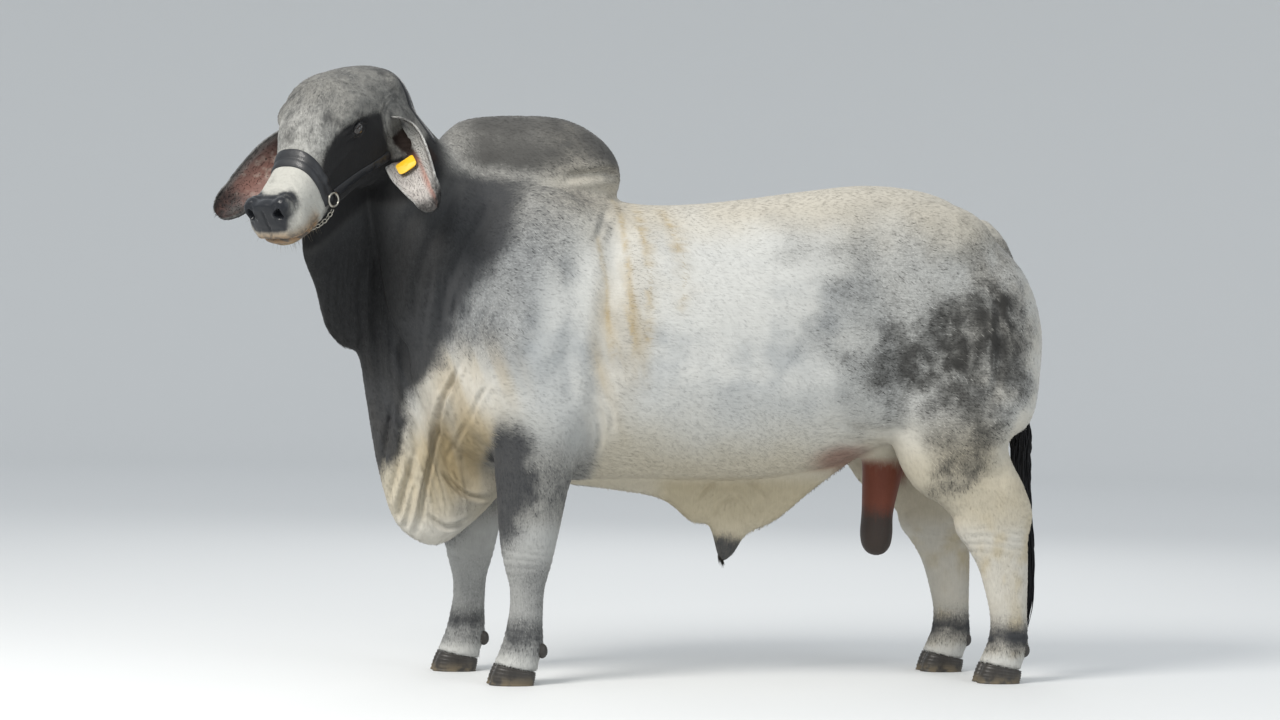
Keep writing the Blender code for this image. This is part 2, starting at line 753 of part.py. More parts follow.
def lids(side):
    # An upper and a lower crescent lying on the eyeball
    centre = eye_centre(side)
    out = -SIDES[side] * CHEEK
    made = []
    for upper, reach in ((1, 0.55), (-1, 0.50)):
        points, radii = [], []
        for k in range(7):
            turn = math.radians(-84 + 28 * k)
            lift = upper * reach * math.cos(turn)
            aim = (math.sin(turn) * FACE + lift * CROWN + 0.92 * out).normalized()
            points.append(centre + aim * (EYE_RADIUS + 0.0025))
            radii.append(0.0035 + 0.0035 * math.cos(turn))
        made.append(tube(points, radii))
    return made


def carved_head(mesh):
    # Lids added, then sockets, nostrils and the line of the mouth cut in
    mesh = united([mesh, *lids("left"), *lids("right")], "lids")
    face = Surface(mesh)
    for side in SIDES:
        mesh = boolean(mesh, ball(eye_centre(side), (EYE_RADIUS + GAP,) * 3, segments=14, rings=8), "DIFFERENCE")
        way = -SIDES[side]
        inner = head_point(0.555, 0.004, way * 0.036)
        outer = head_point(*NOSTRIL_AT[:2], way * NOSTRIL_AT[2])
        low = head_point(0.590, -0.020, way * 0.062)
        mesh = boolean(mesh, tube((inner, outer, low), (0.010, 0.013, 0.007)), "DIFFERENCE")
    turns = [math.radians(a) for a in range(-104, 105, 16)]
    sag = [0.010 * abs(math.sin(a)) ** 3 for a in turns]
    line = [face.out(0.505, MOUTH_UP - fall, 0, (math.cos(a), 0, math.sin(a))) for a, fall in zip(turns, sag)]
    widths = [0.0045 * (0.35 + 0.65 * math.cos(a / 1.25)) for a in turns]
    return boolean(mesh, tube(line, widths, 5), "DIFFERENCE")


# Half width and wrap angle from the ear's root to its tip
EAR_WIDTHS = (
    (0.028, 138),
    (0.038, 124),
    (0.058, 98),
    (0.074, 78),
    (0.082, 66),
    (0.079, 58),
    (0.068, 52),
    (0.050, 46),
    (0.018, 40),
)
# Root in the head's axes, then the elbow and the tip from there, and how far the cup turns outwards
EAR_SPANS = {
    "left": ((0.100, -0.030, 0.092), (0.010, -0.070, -0.050), (0.106, -0.240, -0.255), 0.25),
    "right": ((0.100, -0.030, -0.092), (-0.120, 0.070, -0.070), (-0.338, 0.085, -0.272), -0.15),
}


def ear_frame(side, s):
    # A point along the ear's back, its direction, its opening, and the way across
    root, lean, reach, outward = EAR_SPANS[side]
    start = head_point(*root)
    elbow = start + Vector(lean)
    tip = start + Vector(reach)
    point = (1 - s) ** 2 * start + 2 * s * (1 - s) * elbow + s * s * tip
    along = (2 * (1 - s) * (elbow - start) + 2 * s * (tip - elbow)).normalized()
    opening = HEADING - CHEEK * SIDES[side] * outward - Vector((0, 0, 0.25))
    opening = (opening - opening.dot(along) * along).normalized()
    return point, along, opening, along.cross(opening)


def ear_point(side, s, t, lift=0.0):
    wide, wrap = (float(v) for v in smooth_rows(EAR_WIDTHS, 41)[int(round(s * 40))])
    wrap = math.radians(wrap)
    point, _, opening, across = ear_frame(side, s)
    bend = t * wrap
    radius = wide / math.sin(min(wrap, math.pi / 2))
    rim = math.cos(min(wrap, math.pi / 2))
    back = (radius - lift) * math.cos(bend) - radius * rim
    return point + (radius - lift) * math.sin(bend) * across - back * opening


def ear(side):
    bm = bmesh.new()
    grid = []
    for i in range(10):
        s = math.sin(math.radians(90 * i / 9))
        grid.append([bm.verts.new(ear_point(side, s, t / 4)) for t in range(-4, 5)])
    for near, far in zip(grid, grid[1:]):
        for k in range(8):
            bm.faces.new((near[k], near[k + 1], far[k + 1], far[k]))
    bmesh.ops.triangulate(bm, faces=bm.faces)
    sheet = mesh_from(bm)
    return applied(sheet, ("SOLIDIFY", {"thickness": EAR_THICKNESS, "offset": 0.0}))


TAG_AT = (0.56, 0.36)
TAG_LIFT = 0.021
TAG_SIZE = (0.060, 0.042, 0.002)


def ear_tag():
    # A plate on a stud that goes through the near ear
    spot = ear_point("left", *TAG_AT)
    inside = ear_point("left", *TAG_AT, TAG_LIFT)
    aim = (inside - spot).normalized()
    before, after = (ear_point("left", TAG_AT[0] + step, TAG_AT[1]) for step in (-0.1, 0.1))
    along = (after - before).normalized()
    across = aim.cross(along).normalized()
    axes = Matrix((across, aim.cross(across), aim)).transposed().to_4x4()
    bm = bmesh.new()
    place = Matrix.Translation(inside) @ axes
    bmesh.ops.create_cube(bm, size=1, matrix=place @ Matrix.Diagonal((*TAG_SIZE, 1)))
    bmesh.ops.bevel(bm, geom=[e for e in bm.edges if abs((e.verts[0].co - e.verts[1].co).dot(aim)) > 0.001],
                    offset=0.010, segments=3, affect="EDGES")
    plate = mesh_from(bm)
    bm = bmesh.new()
    middle = Matrix.Translation((spot + inside) / 2) @ axes
    bmesh.ops.create_cone(bm, cap_ends=True, segments=10, radius1=0.005, radius2=0.005, depth=0.036, matrix=middle)
    return united([plate, mesh_from(bm)], "tag")


# Halter: strap widths, and where it lies in the head's own axes
NOSEBAND_AT = 0.425
NOSEBAND_WIDTH = 0.046
STRAP_WIDTH = 0.026
STRAP_UP = -0.072
STRAP_FALL = 0.024
RING_RADIUS = 0.019
RING_WIRE = 0.0032


def band(face, f, width, u, reach, count, lean=0.0):
    # A strap round the head, from one side over the top to the other, its ends further forward by the lean
    rings = []
    for k in range(count):
        share = 2 * k / (count - 1) - 1
        angle = math.radians(reach * share)
        at = f + lean * share**2
        low, high = at - width / 2 / HEAD_SCALE, at + width / 2 / HEAD_SCALE
        rings.append([face.around(e, u, angle, lift) for e, lift in (
            (low, -0.004), (low, STRAP_THICKNESS), (high, STRAP_THICKNESS), (high, -0.004))])
    return skinned(rings)


def cheek_strap(face, side):
    way = -SIDES[side]
    rings = []
    for k in range(12):
        f = 0.398 - (0.398 - 0.030) * k / 11
        middle = STRAP_UP - STRAP_FALL * k / 11
        low, high = middle - STRAP_WIDTH / 2, middle + STRAP_WIDTH / 2
        rings.append([face.out(f, u, 0, (0, 0, way), lift) for u, lift in (
            (low, -0.004), (low, STRAP_THICKNESS), (high, STRAP_THICKNESS), (high, -0.004))])
    return skinned(rings)


def halter(head, nape):
    face = Surface(head)
    made = {}
    rings = {}
    for side in SIDES:
        way = -SIDES[side]
        at = face.out(NOSEBAND_AT - 0.010, STRAP_UP - 0.008, 0, (0, 0, way), 0.0085)
        rings[side] = torus(at, CHEEK * way + FACE * 0.08, RING_RADIUS, RING_WIRE)
        made[f"halter_ring_{side}"] = clear_of(rings[side], head)
    noseband = clear_of(band(face, NOSEBAND_AT, NOSEBAND_WIDTH, -0.035, 122, 21), head)
    for ring in rings.values():
        noseband = clear_of(noseband, ring)
    made["noseband"] = noseband
    behind = Surface(joined([head, nape]))
    crown = band(behind, -0.036, STRAP_WIDTH, -0.050, 118, 15, lean=0.066)
    crown = clear_of(clear_of(crown, head), nape)
    for side in SIDES:
        strap = clear_of(clear_of(cheek_strap(face, side), head), rings[side])
        made[f"cheek_strap_{side}"] = clear_of(strap, noseband)
        crown = clear_of(crown, made[f"cheek_strap_{side}"])
    made["crown_strap"] = crown
    links = []
    count = 11
    path = []
    for k in range(61):
        t = k / 60
        angle = math.radians(130 + 100 * t)
        path.append(face.around(NOSEBAND_AT + 0.045 * math.sin(math.pi * t), -0.050, angle, 0.0125))
    length = [0.0]
    for a, b in zip(path, path[1:]):
        length.append(length[-1] + (b - a).length)
    for k in range(count):
        reach = length[-1] * (k + 0.5) / count
        i = min(sum(1 for v in length if v < reach), len(path) - 1)
        way = (path[i] - path[i - 1]).normalized()
        out = (path[i] - head_point(NOSEBAND_AT, -0.050, 0)).normalized()
        side = way.cross(out).normalized()
        aim = (out + side * (1 if k % 2 else -1)).normalized()
        size = length[-1] / count
        links.append(link(path[i], way, aim, size * 0.62))
    chain = clear_of(united(links, "chain"), head)
    for ring in rings.values():
        chain = clear_of(chain, ring)
    made["chin_chain"] = chain
    return made


def link(centre, way, normal, half):
    # One oval link, its long axis along the chain
    normal = (normal - normal.dot(way) * way).normalized()
    axes = Matrix((way, normal.cross(way), normal)).transposed().to_4x4()
    mesh = torus((0, 0, 0), (0, 0, 1), 0.0062, 0.0021, half / 0.0062 - 0.3, 8, 3)
    mesh.transform(Matrix.Translation(centre) @ axes)
    return mesh


# Feet
HOOF_TOP = 0.052
HOOF_TILT = 0.20
HOOF_HALF_LENGTH = 0.064
HOOF_HALF_WIDTH = 0.0295
CLAW_APART = 0.0325
FEET = {}
for name, way in SIDES.items():
    FEET[f"fore_{name}"] = (f"foreleg_{name}", FORELEG_X[name], way * FORELEG_Y, 0.045)
    FEET[f"hind_{name}"] = (f"hindleg_{name}", HINDLEG_X[name], way * HINDLEG_Y, 0.038)


def coronet(x, at, drop=0.0):
    # The slanted plane between leg and hoof, higher at the toe
    return HOOF_TOP - HOOF_TILT * (x - at) - drop


def claw(x, y, outer):
    # One half of the hoof, flat on the floor and cut to the coronet's slant
    rings = []
    for share, length, width, back in ((0, 1.0, 1.0, 0.0), (0.5, 0.97, 0.98, 0.006), (1, 0.88, 0.94, 0.013)):
        ring = oval((x + back, y, 0), (1, 0, 0), (0, 1, 0), HOOF_HALF_LENGTH * length,
                    HOOF_HALF_WIDTH * width, HOOF_HALF_WIDTH * width, 2.3, 16)
        toe = np.clip((x - ring[:, 0]) / HOOF_HALF_LENGTH, 0, 1)
        ring[:, 1] -= outer * 0.010 * toe**2
        ring[:, 2] = [share * coronet(px, x, GAP) for px in ring[:, 0]]
        rings.append(ring)
    return skinned(rings)


def feet(pieces):
    made = {}
    for name, (leg_name, x, y, back) in FEET.items():
        centre = x - back
        slant = Matrix.Rotation(math.atan(HOOF_TILT), 4, "Y")
        under = block((centre - 0.2, y - 0.11, -0.2), (centre + 0.2, y + 0.11, HOOF_TOP), slant, (centre, y, HOOF_TOP))
        shank = boolean(pieces[leg_name], under, "DIFFERENCE")
        for claw_name, way in (("inner", -1), ("outer", 1)):
            out = math.copysign(way, way * y)
            made[f"hoof_{name}_{claw_name}"] = claw(centre, y + out * CLAW_APART, out)
            spur = ball((x + 0.040, y + out * 0.026, 0.100), (0.020, 0.015, 0.023), segments=7, rings=4)
            shank = boolean(shank, inflated(spur, GAP), "DIFFERENCE")
            made[f"dewclaw_{name}_{claw_name}"] = spur
        pieces[leg_name] = shank
    return made


# Regions that part the skin into its named pieces


def region_in_head(low, high, grow=0.0):
    low = [a - grow / HEAD_SCALE for a in low]
    high = [b + grow / HEAD_SCALE for b in high]
    return in_head(block(low, high))


HEAD_LOW = (0.005, -0.166, -0.230)
HEAD_HIGH = (0.750, 0.300, 0.230)


def tilted(low, high, angle, about, grow=0.0):
    low = [a - grow for a in low]
    high = [b + grow for b in high]
    return block(low, high, Matrix.Rotation(angle, 4, "Y"), about)


def regions():
    # Name, low corner, high corner, tilt about Y, and the point it turns about
    zero = (0, 0, 0)
    found = [
        ("scrotum", (0.650, -0.12, 0.30), (0.880, 0.12, 0.655), 0, zero),
        ("sheath", (0.020, -0.12, 0.30), (0.640, 0.12, 0.596), 0, zero),
    ]
    for side, way in SIDES.items():
        y = sorted((way * 0.078, way * 0.500))
        x = FORELEG_X[side]
        found.append((f"foreleg_{side}", (x - 0.19, y[0], -0.1), (x + 0.175, y[1], 0.700), 0, zero))
    for side, way in SIDES.items():
        y = sorted((way * GAP / 2, way * 0.500))
        pivot = (0.960, 0, 0.800)
        low = (0.560, y[0], -0.300)
        high = (1.600, y[1], 0.800)
        found.append((f"hindleg_{side}", low, high, math.radians(-22), pivot))
    found.append(("hump", (-0.585, -0.4, 1.465), (0.10, 0.4, 1.90), math.radians(8), (-0.330, 0, 1.465)))
    found.append(("dewlap", (-1.40, -0.7, 0.20), (-0.710, 0.4, 1.75), math.radians(-30), (-0.710, 0, 0.900)))
    found.append(("neck", (-1.60, -0.7, 0.60), (-0.590, 0.4, 2.00), math.radians(10), (-0.590, 0, 1.280)))
    found.append(("torso_rear", (0.250, -0.6, 0.2), (1.50, 0.6, 1.8), 0, zero))
    return found


HIDE_FINISH = {
    "scrotum": "skin_tan",
    "sheath": "coat_pale",
    "hump": "coat_dark",
    "dewlap": "coat_dark",
    "neck": "coat_dark",
}


def parted_hide(skin):
    # The skin as named pieces, 0.3 mm apart
    pieces = {}
    rest = boolean(skin, region_in_head(HEAD_LOW, HEAD_HIGH, GAP), "DIFFERENCE")
    for name, low, high, angle, about in regions():
        pieces[name] = boolean(rest, tilted(low, high, angle, about), "INTERSECT")
        rest = boolean(rest, tilted(low, high, angle, about, GAP), "DIFFERENCE")
    pieces["torso_front"] = rest
    return pieces


def main():
    clear_scene()
    make_collections()
    blocks = head_blocks()
    front = [neck(), dewlap()]
    body = [trunk(), hump(), sheath(), scrotum(), *limb_blocks()]
    skin = with_folds(fused(blocks + front + body, BODY_VOXEL, 40, body_softness))
    pieces = parted_hide(thinned(skin, BODY_TRIANGLES))
    fine = thinned(fused(blocks + front, HEAD_VOXEL, 8), HEAD_TRIANGLES)
    head = carved_head(boolean(fine, region_in_head(HEAD_LOW, HEAD_HIGH), "INTERSECT"))
    horn = feet(pieces)
    dock = tail()
    for name in ("torso_rear", "hindleg_left", "hindleg_right"):
        pieces[name] = clear_of(pieces[name], dock)
    tack = halter(head, pieces["neck"])
    for name, mesh in tack.items():
        finish = "steel" if "ring" in name or "chain" in name else "leather"
        object_of(name, mesh, finish)
    tag = ear_tag()
    for side in SIDES:
        shell = clear_of(ear(side), head)
        for name in (f"cheek_strap_{side}", "crown_strap"):
            shell = clear_of(shell, tack[name])
        if side == "left":
            shell = clear_of(shell, tag)
        object_of(f"ear_{side}", shell, "coat_pale")
        object_of(f"eye_{side}", ball(eye_centre(side), (EYE_RADIUS,) * 3, segments=14, rings=8), "eye_dark")
    object_of("head", head, "coat_grey")
    for name, mesh in pieces.items():
        object_of(name, mesh, HIDE_FINISH.get(name, "coat_grey"))
    for name, mesh in horn.items():
        object_of(name, mesh, "hoof_horn")
    object_of("ear_tag", tag, "tag_yellow")
    object_of("tail", dock, "coat_dark")
    object_of("tail_switch", tail_switch(), "hair_black")
    centre_on_floor()


def centre_on_floor():
    # The origin is the middle of the box's base
    shapes = [made.data for made in bpy.data.collections["brahman_bull"].objects]
    corners = np.vstack([points_of(mesh) for mesh in shapes])
    low, high = corners.min(axis=0), corners.max(axis=0)
    shift = Vector((-(low[0] + high[0]) / 2, -(low[1] + high[1]) / 2, -low[2]))
    for mesh in shapes:
        mesh.transform(Matrix.Translation(shift))
    print("moved by", [round(v, 4) for v in shift], "size", [round(v, 3) for v in high - low])


main()
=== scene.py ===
# A Brahman bull: the looks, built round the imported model
import functools
import math

import bmesh
import bpy
import numpy as np
from mathutils import Matrix, Vector
from mathutils.bvhtree import BVHTree


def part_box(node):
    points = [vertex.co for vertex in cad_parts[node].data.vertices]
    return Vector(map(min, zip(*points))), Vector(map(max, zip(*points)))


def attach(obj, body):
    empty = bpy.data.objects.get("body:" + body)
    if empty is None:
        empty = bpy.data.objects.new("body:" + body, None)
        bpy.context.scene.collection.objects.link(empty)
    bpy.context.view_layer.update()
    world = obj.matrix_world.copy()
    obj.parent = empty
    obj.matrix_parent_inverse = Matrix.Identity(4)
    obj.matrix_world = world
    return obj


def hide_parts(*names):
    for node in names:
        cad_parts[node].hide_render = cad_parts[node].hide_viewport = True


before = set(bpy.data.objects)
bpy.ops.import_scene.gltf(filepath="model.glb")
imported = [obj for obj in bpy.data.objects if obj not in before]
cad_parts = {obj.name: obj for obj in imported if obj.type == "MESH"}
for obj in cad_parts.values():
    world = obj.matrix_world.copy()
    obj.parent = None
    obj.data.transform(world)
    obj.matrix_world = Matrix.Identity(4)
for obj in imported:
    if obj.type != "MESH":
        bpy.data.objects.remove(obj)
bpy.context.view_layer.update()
sides = {"left": -1, "right": 1}


# Shapes
def placed(name, data):
    made = bpy.data.objects.new(name, data)
    bpy.context.scene.collection.objects.link(made)
    return made


def opened(*meshes):
    bm = bmesh.new()
    for mesh in meshes:
        bm.from_mesh(mesh)
    return bm


def meshFrom(bm, outwards=True):
    # The mesh made in bm, as it is or with its faces turned outwards
    if outwards:
        bmesh.ops.recalc_face_normals(bm, faces=bm.faces)
    mesh = bpy.data.meshes.new("shape")
    bm.to_mesh(mesh)
    bm.free()
    return mesh


def joined(meshes):
    return meshFrom(opened(*meshes), outwards=False)


def meshOf(name, points, faces):
    mesh = bpy.data.meshes.new(name)
    points = np.asarray(points, np.float32)
    faces = np.asarray(faces, np.int32)
    size = faces.shape[1]
    mesh.vertices.add(len(points))
    mesh.vertices.foreach_set("co", points.ravel())
    mesh.loops.add(faces.size)
    mesh.loops.foreach_set("vertex_index", faces.ravel())
    mesh.polygons.add(len(faces))
    mesh.polygons.foreach_set("loop_start", np.arange(0, faces.size, size, dtype=np.int32))
    mesh.update(calc_edges=True)
    return mesh


def pointsOf(mesh):
    points = np.empty(len(mesh.vertices) * 3, np.float32)
    mesh.vertices.foreach_get("co", points)
    return points.reshape(-1, 3).astype(float)


def cornersOf(mesh):
    # The points of each triangle
    corners = np.empty(len(mesh.loops), np.int32)
    mesh.loops.foreach_get("vertex_index", corners)
    return corners.reshape(-1, 3)


def treeOf(mesh, kept=None):
    faces = [tuple(p.vertices) for p in mesh.polygons if kept is None or all(kept[list(p.vertices)])]
    return BVHTree.FromPolygons([Vector(p) for p in pointsOf(mesh)], faces)


def gridFaces(rows, columns, closed=False):
    # Faces between rings of points, and from the last ring to the first where closed
    pairs = [(i, (i + 1) % rows) for i in range(rows if closed else rows - 1)]
    around = [(k, (k + 1) % columns) for k in range(columns)]
    return [(i * columns + k, i * columns + n, j * columns + n, j * columns + k) for i, j in pairs for k, n in around]


def normalsOf(mesh):
    normals = np.empty(len(mesh.vertices) * 3, np.float32)
    mesh.vertex_normals.foreach_get("vector", normals)
    return normals.reshape(-1, 3).astype(float)


def setPoints(mesh, points):
    mesh.vertices.foreach_set("co", np.asarray(points, np.float32).ravel())
    mesh.update()


def applied(mesh, *modifiers):
    # The mesh after the modifiers, each given as a type and its settings
    work = placed("work", mesh)
    for kind, settings in modifiers:
        modifier = work.modifiers.new(kind, kind)
        for key, value in settings.items():
            setattr(modifier, key, value)
    graph = bpy.context.evaluated_depsgraph_get()
    result = bpy.data.meshes.new_from_object(work.evaluated_get(graph))
    bpy.data.objects.remove(work, do_unlink=True)
    return result


def smoothRows(rows, count):
    # Rows read at even steps along a Catmull-Rom curve through the given ones
    rows = np.asarray(rows, float)
    at = np.linspace(0, len(rows) - 1, count)
    i = np.clip(at.astype(int), 0, len(rows) - 2)
    t = (at - i)[:, None]
    padded = np.vstack([2 * rows[0] - rows[1], rows, 2 * rows[-1] - rows[-2]])
    a, b, c, d = (padded[i + k] for k in range(4))
    return b + 0.5 * t * (c - a + t * (2 * a - 5 * b + 4 * c - d + t * (3 * (b - c) + d - a)))


def skinned(rings):
    # A closed skin over rings of points, with a cap at each end
    count = len(rings[0])
    points = np.concatenate([np.asarray(ring, float) for ring in rings])
    bm = bmesh.new()
    verts = [bm.verts.new(point) for point in points]
    for i in range(len(rings) - 1):
        for k in range(count):
            n = (k + 1) % count
            a, b = i * count, (i + 1) * count
            bm.faces.new((verts[a + k], verts[a + n], verts[b + n], verts[b + k]))
    bm.faces.new(verts[:count])
    bm.faces.new(verts[-count:])
    return meshFrom(bm)


def oval(centre, across, up, halfWidth, above, below, power=2.0, sideCount=24):
    turn = np.linspace(0, 2 * np.pi, sideCount, endpoint=False)
    c, s = np.cos(turn), np.sin(turn)
    c = np.sign(c) * np.abs(c) ** (2 / power)
    s = np.sign(s) * np.abs(s) ** (2 / power)
    height = np.where(s > 0, above, below)
    return np.asarray(centre) + np.outer(c * halfWidth, across) + np.outer(s * height, up)


def loft(rows, up, count=24, sideCount=24, power=2.0, facing=None):
    # Rows: x, y, z, half width, half height above and half height below the path
    rows = smoothRows(rows, count)
    path = rows[:, :3]
    along = np.gradient(path, axis=0) if facing is None else np.tile(np.array(facing, float), (count, 1))
    rings = []
    for row, way in zip(rows, along):
        way = way / np.linalg.norm(way)
        across = np.cross(way, up)
        across /= np.linalg.norm(across)
        level = np.cross(across, way)
        rings.append(oval(row[:3], across, level, row[3], row[4], row[5], power, sideCount))
    return skinned(rings)


def curtain(rows, count=40, sideCount=20):
    # A hanging fold: rows are its upper point, its lower edge and its half thickness
    rows = smoothRows(rows, count)
    along = np.gradient((rows[:, :3] + rows[:, 3:6]) / 2, axis=0)
    rings = []
    for row, way in zip(rows, along):
        centre = (row[:3] + row[3:6]) / 2
        fall = (row[3:6] - row[:3]) / 2
        across = np.cross(way, fall)
        across /= np.linalg.norm(across)
        rings.append(oval(centre, across, fall, row[6], 1, 1, 2.4, sideCount))
    return skinned(rings)


def ball(centre, radii):
    bm = bmesh.new()
    matrix = Matrix.Translation(centre) @ Matrix.Diagonal((*radii, 1))
    bmesh.ops.create_uvsphere(bm, u_segments=24, v_segments=14, radius=1, matrix=matrix)
    return meshFrom(bm)


def ramp(values, low, high):
    t = np.clip((values - low) / (high - low), 0, 1)
    return t * t * (3 - 2 * t)


def fade(values, low, high):
    return 1 - ramp(values, low, high)


def bump(distance, width):
    return np.exp(-((distance / width) ** 2))


def noise(points, scale, seed=0, octaves=1):
    # Smooth noise from 0 to 1, its detail about one over the scale
    points = np.asarray(points, float) * scale + seed * 17.31 + 500.0
    total = np.zeros(len(points))
    weight = 1.0
    weights = 0.0
    for _ in range(octaves):
        cell = np.floor(points).astype(np.int64)
        t = points - cell
        t = t * t * (3 - 2 * t)
        value = np.zeros(len(points))
        for dx, dy, dz in np.ndindex(2, 2, 2):
            # One corner of the cell: its own random value, and how near it is
            h = (cell[:, 0] + dx) * 73856093 ^ (cell[:, 1] + dy) * 19349663 ^ (cell[:, 2] + dz) * 83492791
            h = (h ^ (h >> 13)) * 1274126177 & 0x7FFFFFFF
            h = ((h ^ (h >> 15)) & 0xFFFF) / 65535.0
            wx, wy, wz = (t[:, k] if d else 1 - t[:, k] for k, d in enumerate((dx, dy, dz)))
            value += h * wx * wy * wz
        total += value * weight
        weights += weight
        weight *= 0.5
        points = points * 2.03 + 7.7
    return total / weights


def fromPath(flat, path):
    # Distance of points in a plane to a line, and how far along it they are, from 0 to 1
    line = smoothRows(path, 6 * len(path))
    best = np.full(len(flat), 1e9)
    where = np.zeros(len(flat))
    for i, (a, b) in enumerate(zip(line, line[1:])):
        way = b - a
        t = np.clip((flat - a) @ way / (way @ way + 1e-12), 0, 1)
        d = np.hypot(flat[:, 0] - a[0] - t * way[0], flat[:, 1] - a[1] - t * way[1])
        near = d < best
        best[near] = d[near]
        where[near] = (i + t[near]) / (len(line) - 1)
    return best, where


# The body's measures, the same as the solids'
body = {"backHeight": 1.416, "humpHeight": 1.672, "barrelHalfWidth": 0.345,
        "forelegX": {"left": -0.364, "right": -0.472}, "hindlegX": {"left": 1.119, "right": 1.047}, "forelegY": 0.2,
        "hindlegY": 0.17, "tailEnd": 0.64}
head = {"origin": Vector((-0.815, -0.08, 1.707)), "turn": math.radians(44), "drop": math.radians(36.8),
        "scale": 1.034, "eyeRadius": 0.0205, "eyeAt": (0.255, 0.046, 0.113), "mouthUp": -0.088}
heading = Vector((-math.cos(head["turn"]), -math.sin(head["turn"]), 0))
faceWay = heading * math.cos(head["drop"]) - Vector((0, 0, math.sin(head["drop"])))
crownWay = heading * math.sin(head["drop"]) + Vector((0, 0, math.cos(head["drop"])))
cheekWay = Vector((-heading.y, heading.x, 0))
headAxes = np.array([faceWay, crownWay, cheekWay])


def headPoint(f, u, l):
    return head["origin"] + head["scale"] * (f * faceWay + u * crownWay + l * cheekWay)


def headCoords(points):
    return (np.asarray(points) - np.array(head["origin"])) @ headAxes.T / head["scale"]


def toHead(mesh):
    axes = Matrix((faceWay, crownWay, cheekWay)).transposed().to_4x4()
    mesh.transform(Matrix.Translation(head["origin"]) @ axes @ Matrix.Diagonal((*(head["scale"],) * 3, 1)))
    return meshFrom(opened(mesh))


def pair(centre, radii):
    return [ball((centre[0], centre[1], centre[2] * side), radii) for side in (1, -1)]


def eyeCentre(side):
    return headPoint(head["eyeAt"][0], head["eyeAt"][1], -sides[side] * head["eyeAt"][2])


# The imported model's place, read off an eye
eyeLow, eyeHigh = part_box("eye_left")
shift = (eyeLow + eyeHigh) / 2 - eyeCentre("left")
print("shift", tuple(round(v, 4) for v in shift))


# Head blocks, in the head's own axes: forward, up, left. Each row: forward, top, bottom, half width
headRows = ((-0.05, -0.08, -0.13, 0.06), (-0.02, -0.01, -0.16, 0.082), (0.03, 0.086, -0.168, 0.104),
            (0.1, 0.138, -0.168, 0.122), (0.17, 0.164, -0.166, 0.13), (0.23, 0.17, -0.16, 0.127),
            (0.29, 0.15, -0.15, 0.11), (0.35, 0.1, -0.14, 0.094), (0.42, 0.058, -0.132, 0.082),
            (0.49, 0.038, -0.13, 0.08), (0.54, 0.026, -0.126, 0.083), (0.58, 0.002, -0.114, 0.078),
            (0.604, -0.03, -0.09, 0.055))
# Blocks on both sides of the head: centre and radii
headPairs = (((0.24, 0.092, 0.086), (0.07, 0.044, 0.05)), ((0.255, 0.044, 0.096), (0.046, 0.036, 0.03)),
             ((0.16, -0.085, 0.08), (0.095, 0.072, 0.045)), ((0.03, 0.052, 0.082), (0.036, 0.036, 0.034)),
             ((0.09, -0.02, 0.104), (0.04, 0.036, 0.026)), ((0.566, 0.0, 0.05), (0.036, 0.032, 0.03)),
             ((0.552, -0.056, 0.052), (0.046, 0.04, 0.038)))


def headBlocks():
    rows = [(f, (top + low) / 2, 0, wide, (top - low) / 2, (top - low) / 2) for f, top, low, wide in headRows]
    shapes = [loft(rows, (0, 1, 0), count=36, sideCount=32, power=2.6)]
    shapes.append(ball((0.21, 0.08, 0), (0.13, 0.102, 0.128)))
    for centre, radii in headPairs:
        shapes += pair(centre, radii)
    shapes.append(ball((0.574, -0.006, 0), (0.034, 0.034, 0.052)))
    shapes.append(ball((0.545, -0.1, 0), (0.05, 0.028, 0.06)))
    return [toHead(shape) for shape in shapes]


def trunk():
    # x, top, bottom, half width
    wide, back = body["barrelHalfWidth"], body["backHeight"]
    rows = ((-0.706, 1.15, 0.8, 0.1), (-0.614, 1.38, 0.69, 0.22), (-0.491, 1.5, 0.63, 0.29),
            (-0.368, 1.5, 0.6, 0.325), (-0.246, 1.47, 0.585, wide - 0.01), (-0.123, 1.432, 0.59, wide - 0.008),
            (0.0, back, 0.595, wide - 0.005), (0.184, back + 0.01, 0.59, wide), (0.368, back + 0.037, 0.597, wide),
            (0.553, back + 0.066, 0.63, wide - 0.015), (0.675, back + 0.081, 0.672, wide - 0.03),
            (0.798, back + 0.077, 0.715, wide - 0.045), (0.921, back + 0.052, 0.76, wide - 0.065),
            (1.02, back - 0.014, 0.78, 0.25), (1.09, back - 0.08, 0.81, 0.205), (1.14, 1.23, 0.85, 0.15),
            (1.165, 1.11, 0.9, 0.08))
    stations = [(x, 0, (top + low) / 2, half, (top - low) / 2, (top - low) / 2) for x, top, low, half in rows]
    return loft(stations, (0, 0, 1), count=44, sideCount=40, power=2.25, facing=(1, 0, 0))


def hump():
    # x, middle height, half width, half height
    top = body["humpHeight"]
    rows = ((-0.64, 1.47, 0.1, 0.1), (-0.57, top - 0.16, 0.125, 0.135), (-0.47, top - 0.16, 0.14, 0.155),
            (-0.36, top - 0.158, 0.155, 0.158), (-0.26, top - 0.158, 0.15, 0.155), (-0.18, top - 0.16, 0.135, 0.128),
            (-0.12, top - 0.165, 0.105, 0.09), (-0.085, top - 0.178, 0.065, 0.058),
            (-0.07, top - 0.185, 0.025, 0.022))
    stations = [(x, 0, z, w, h, h) for x, z, w, h in rows]
    return loft(stations, (0, 0, 1), count=30, sideCount=32, facing=(1, 0, 0))


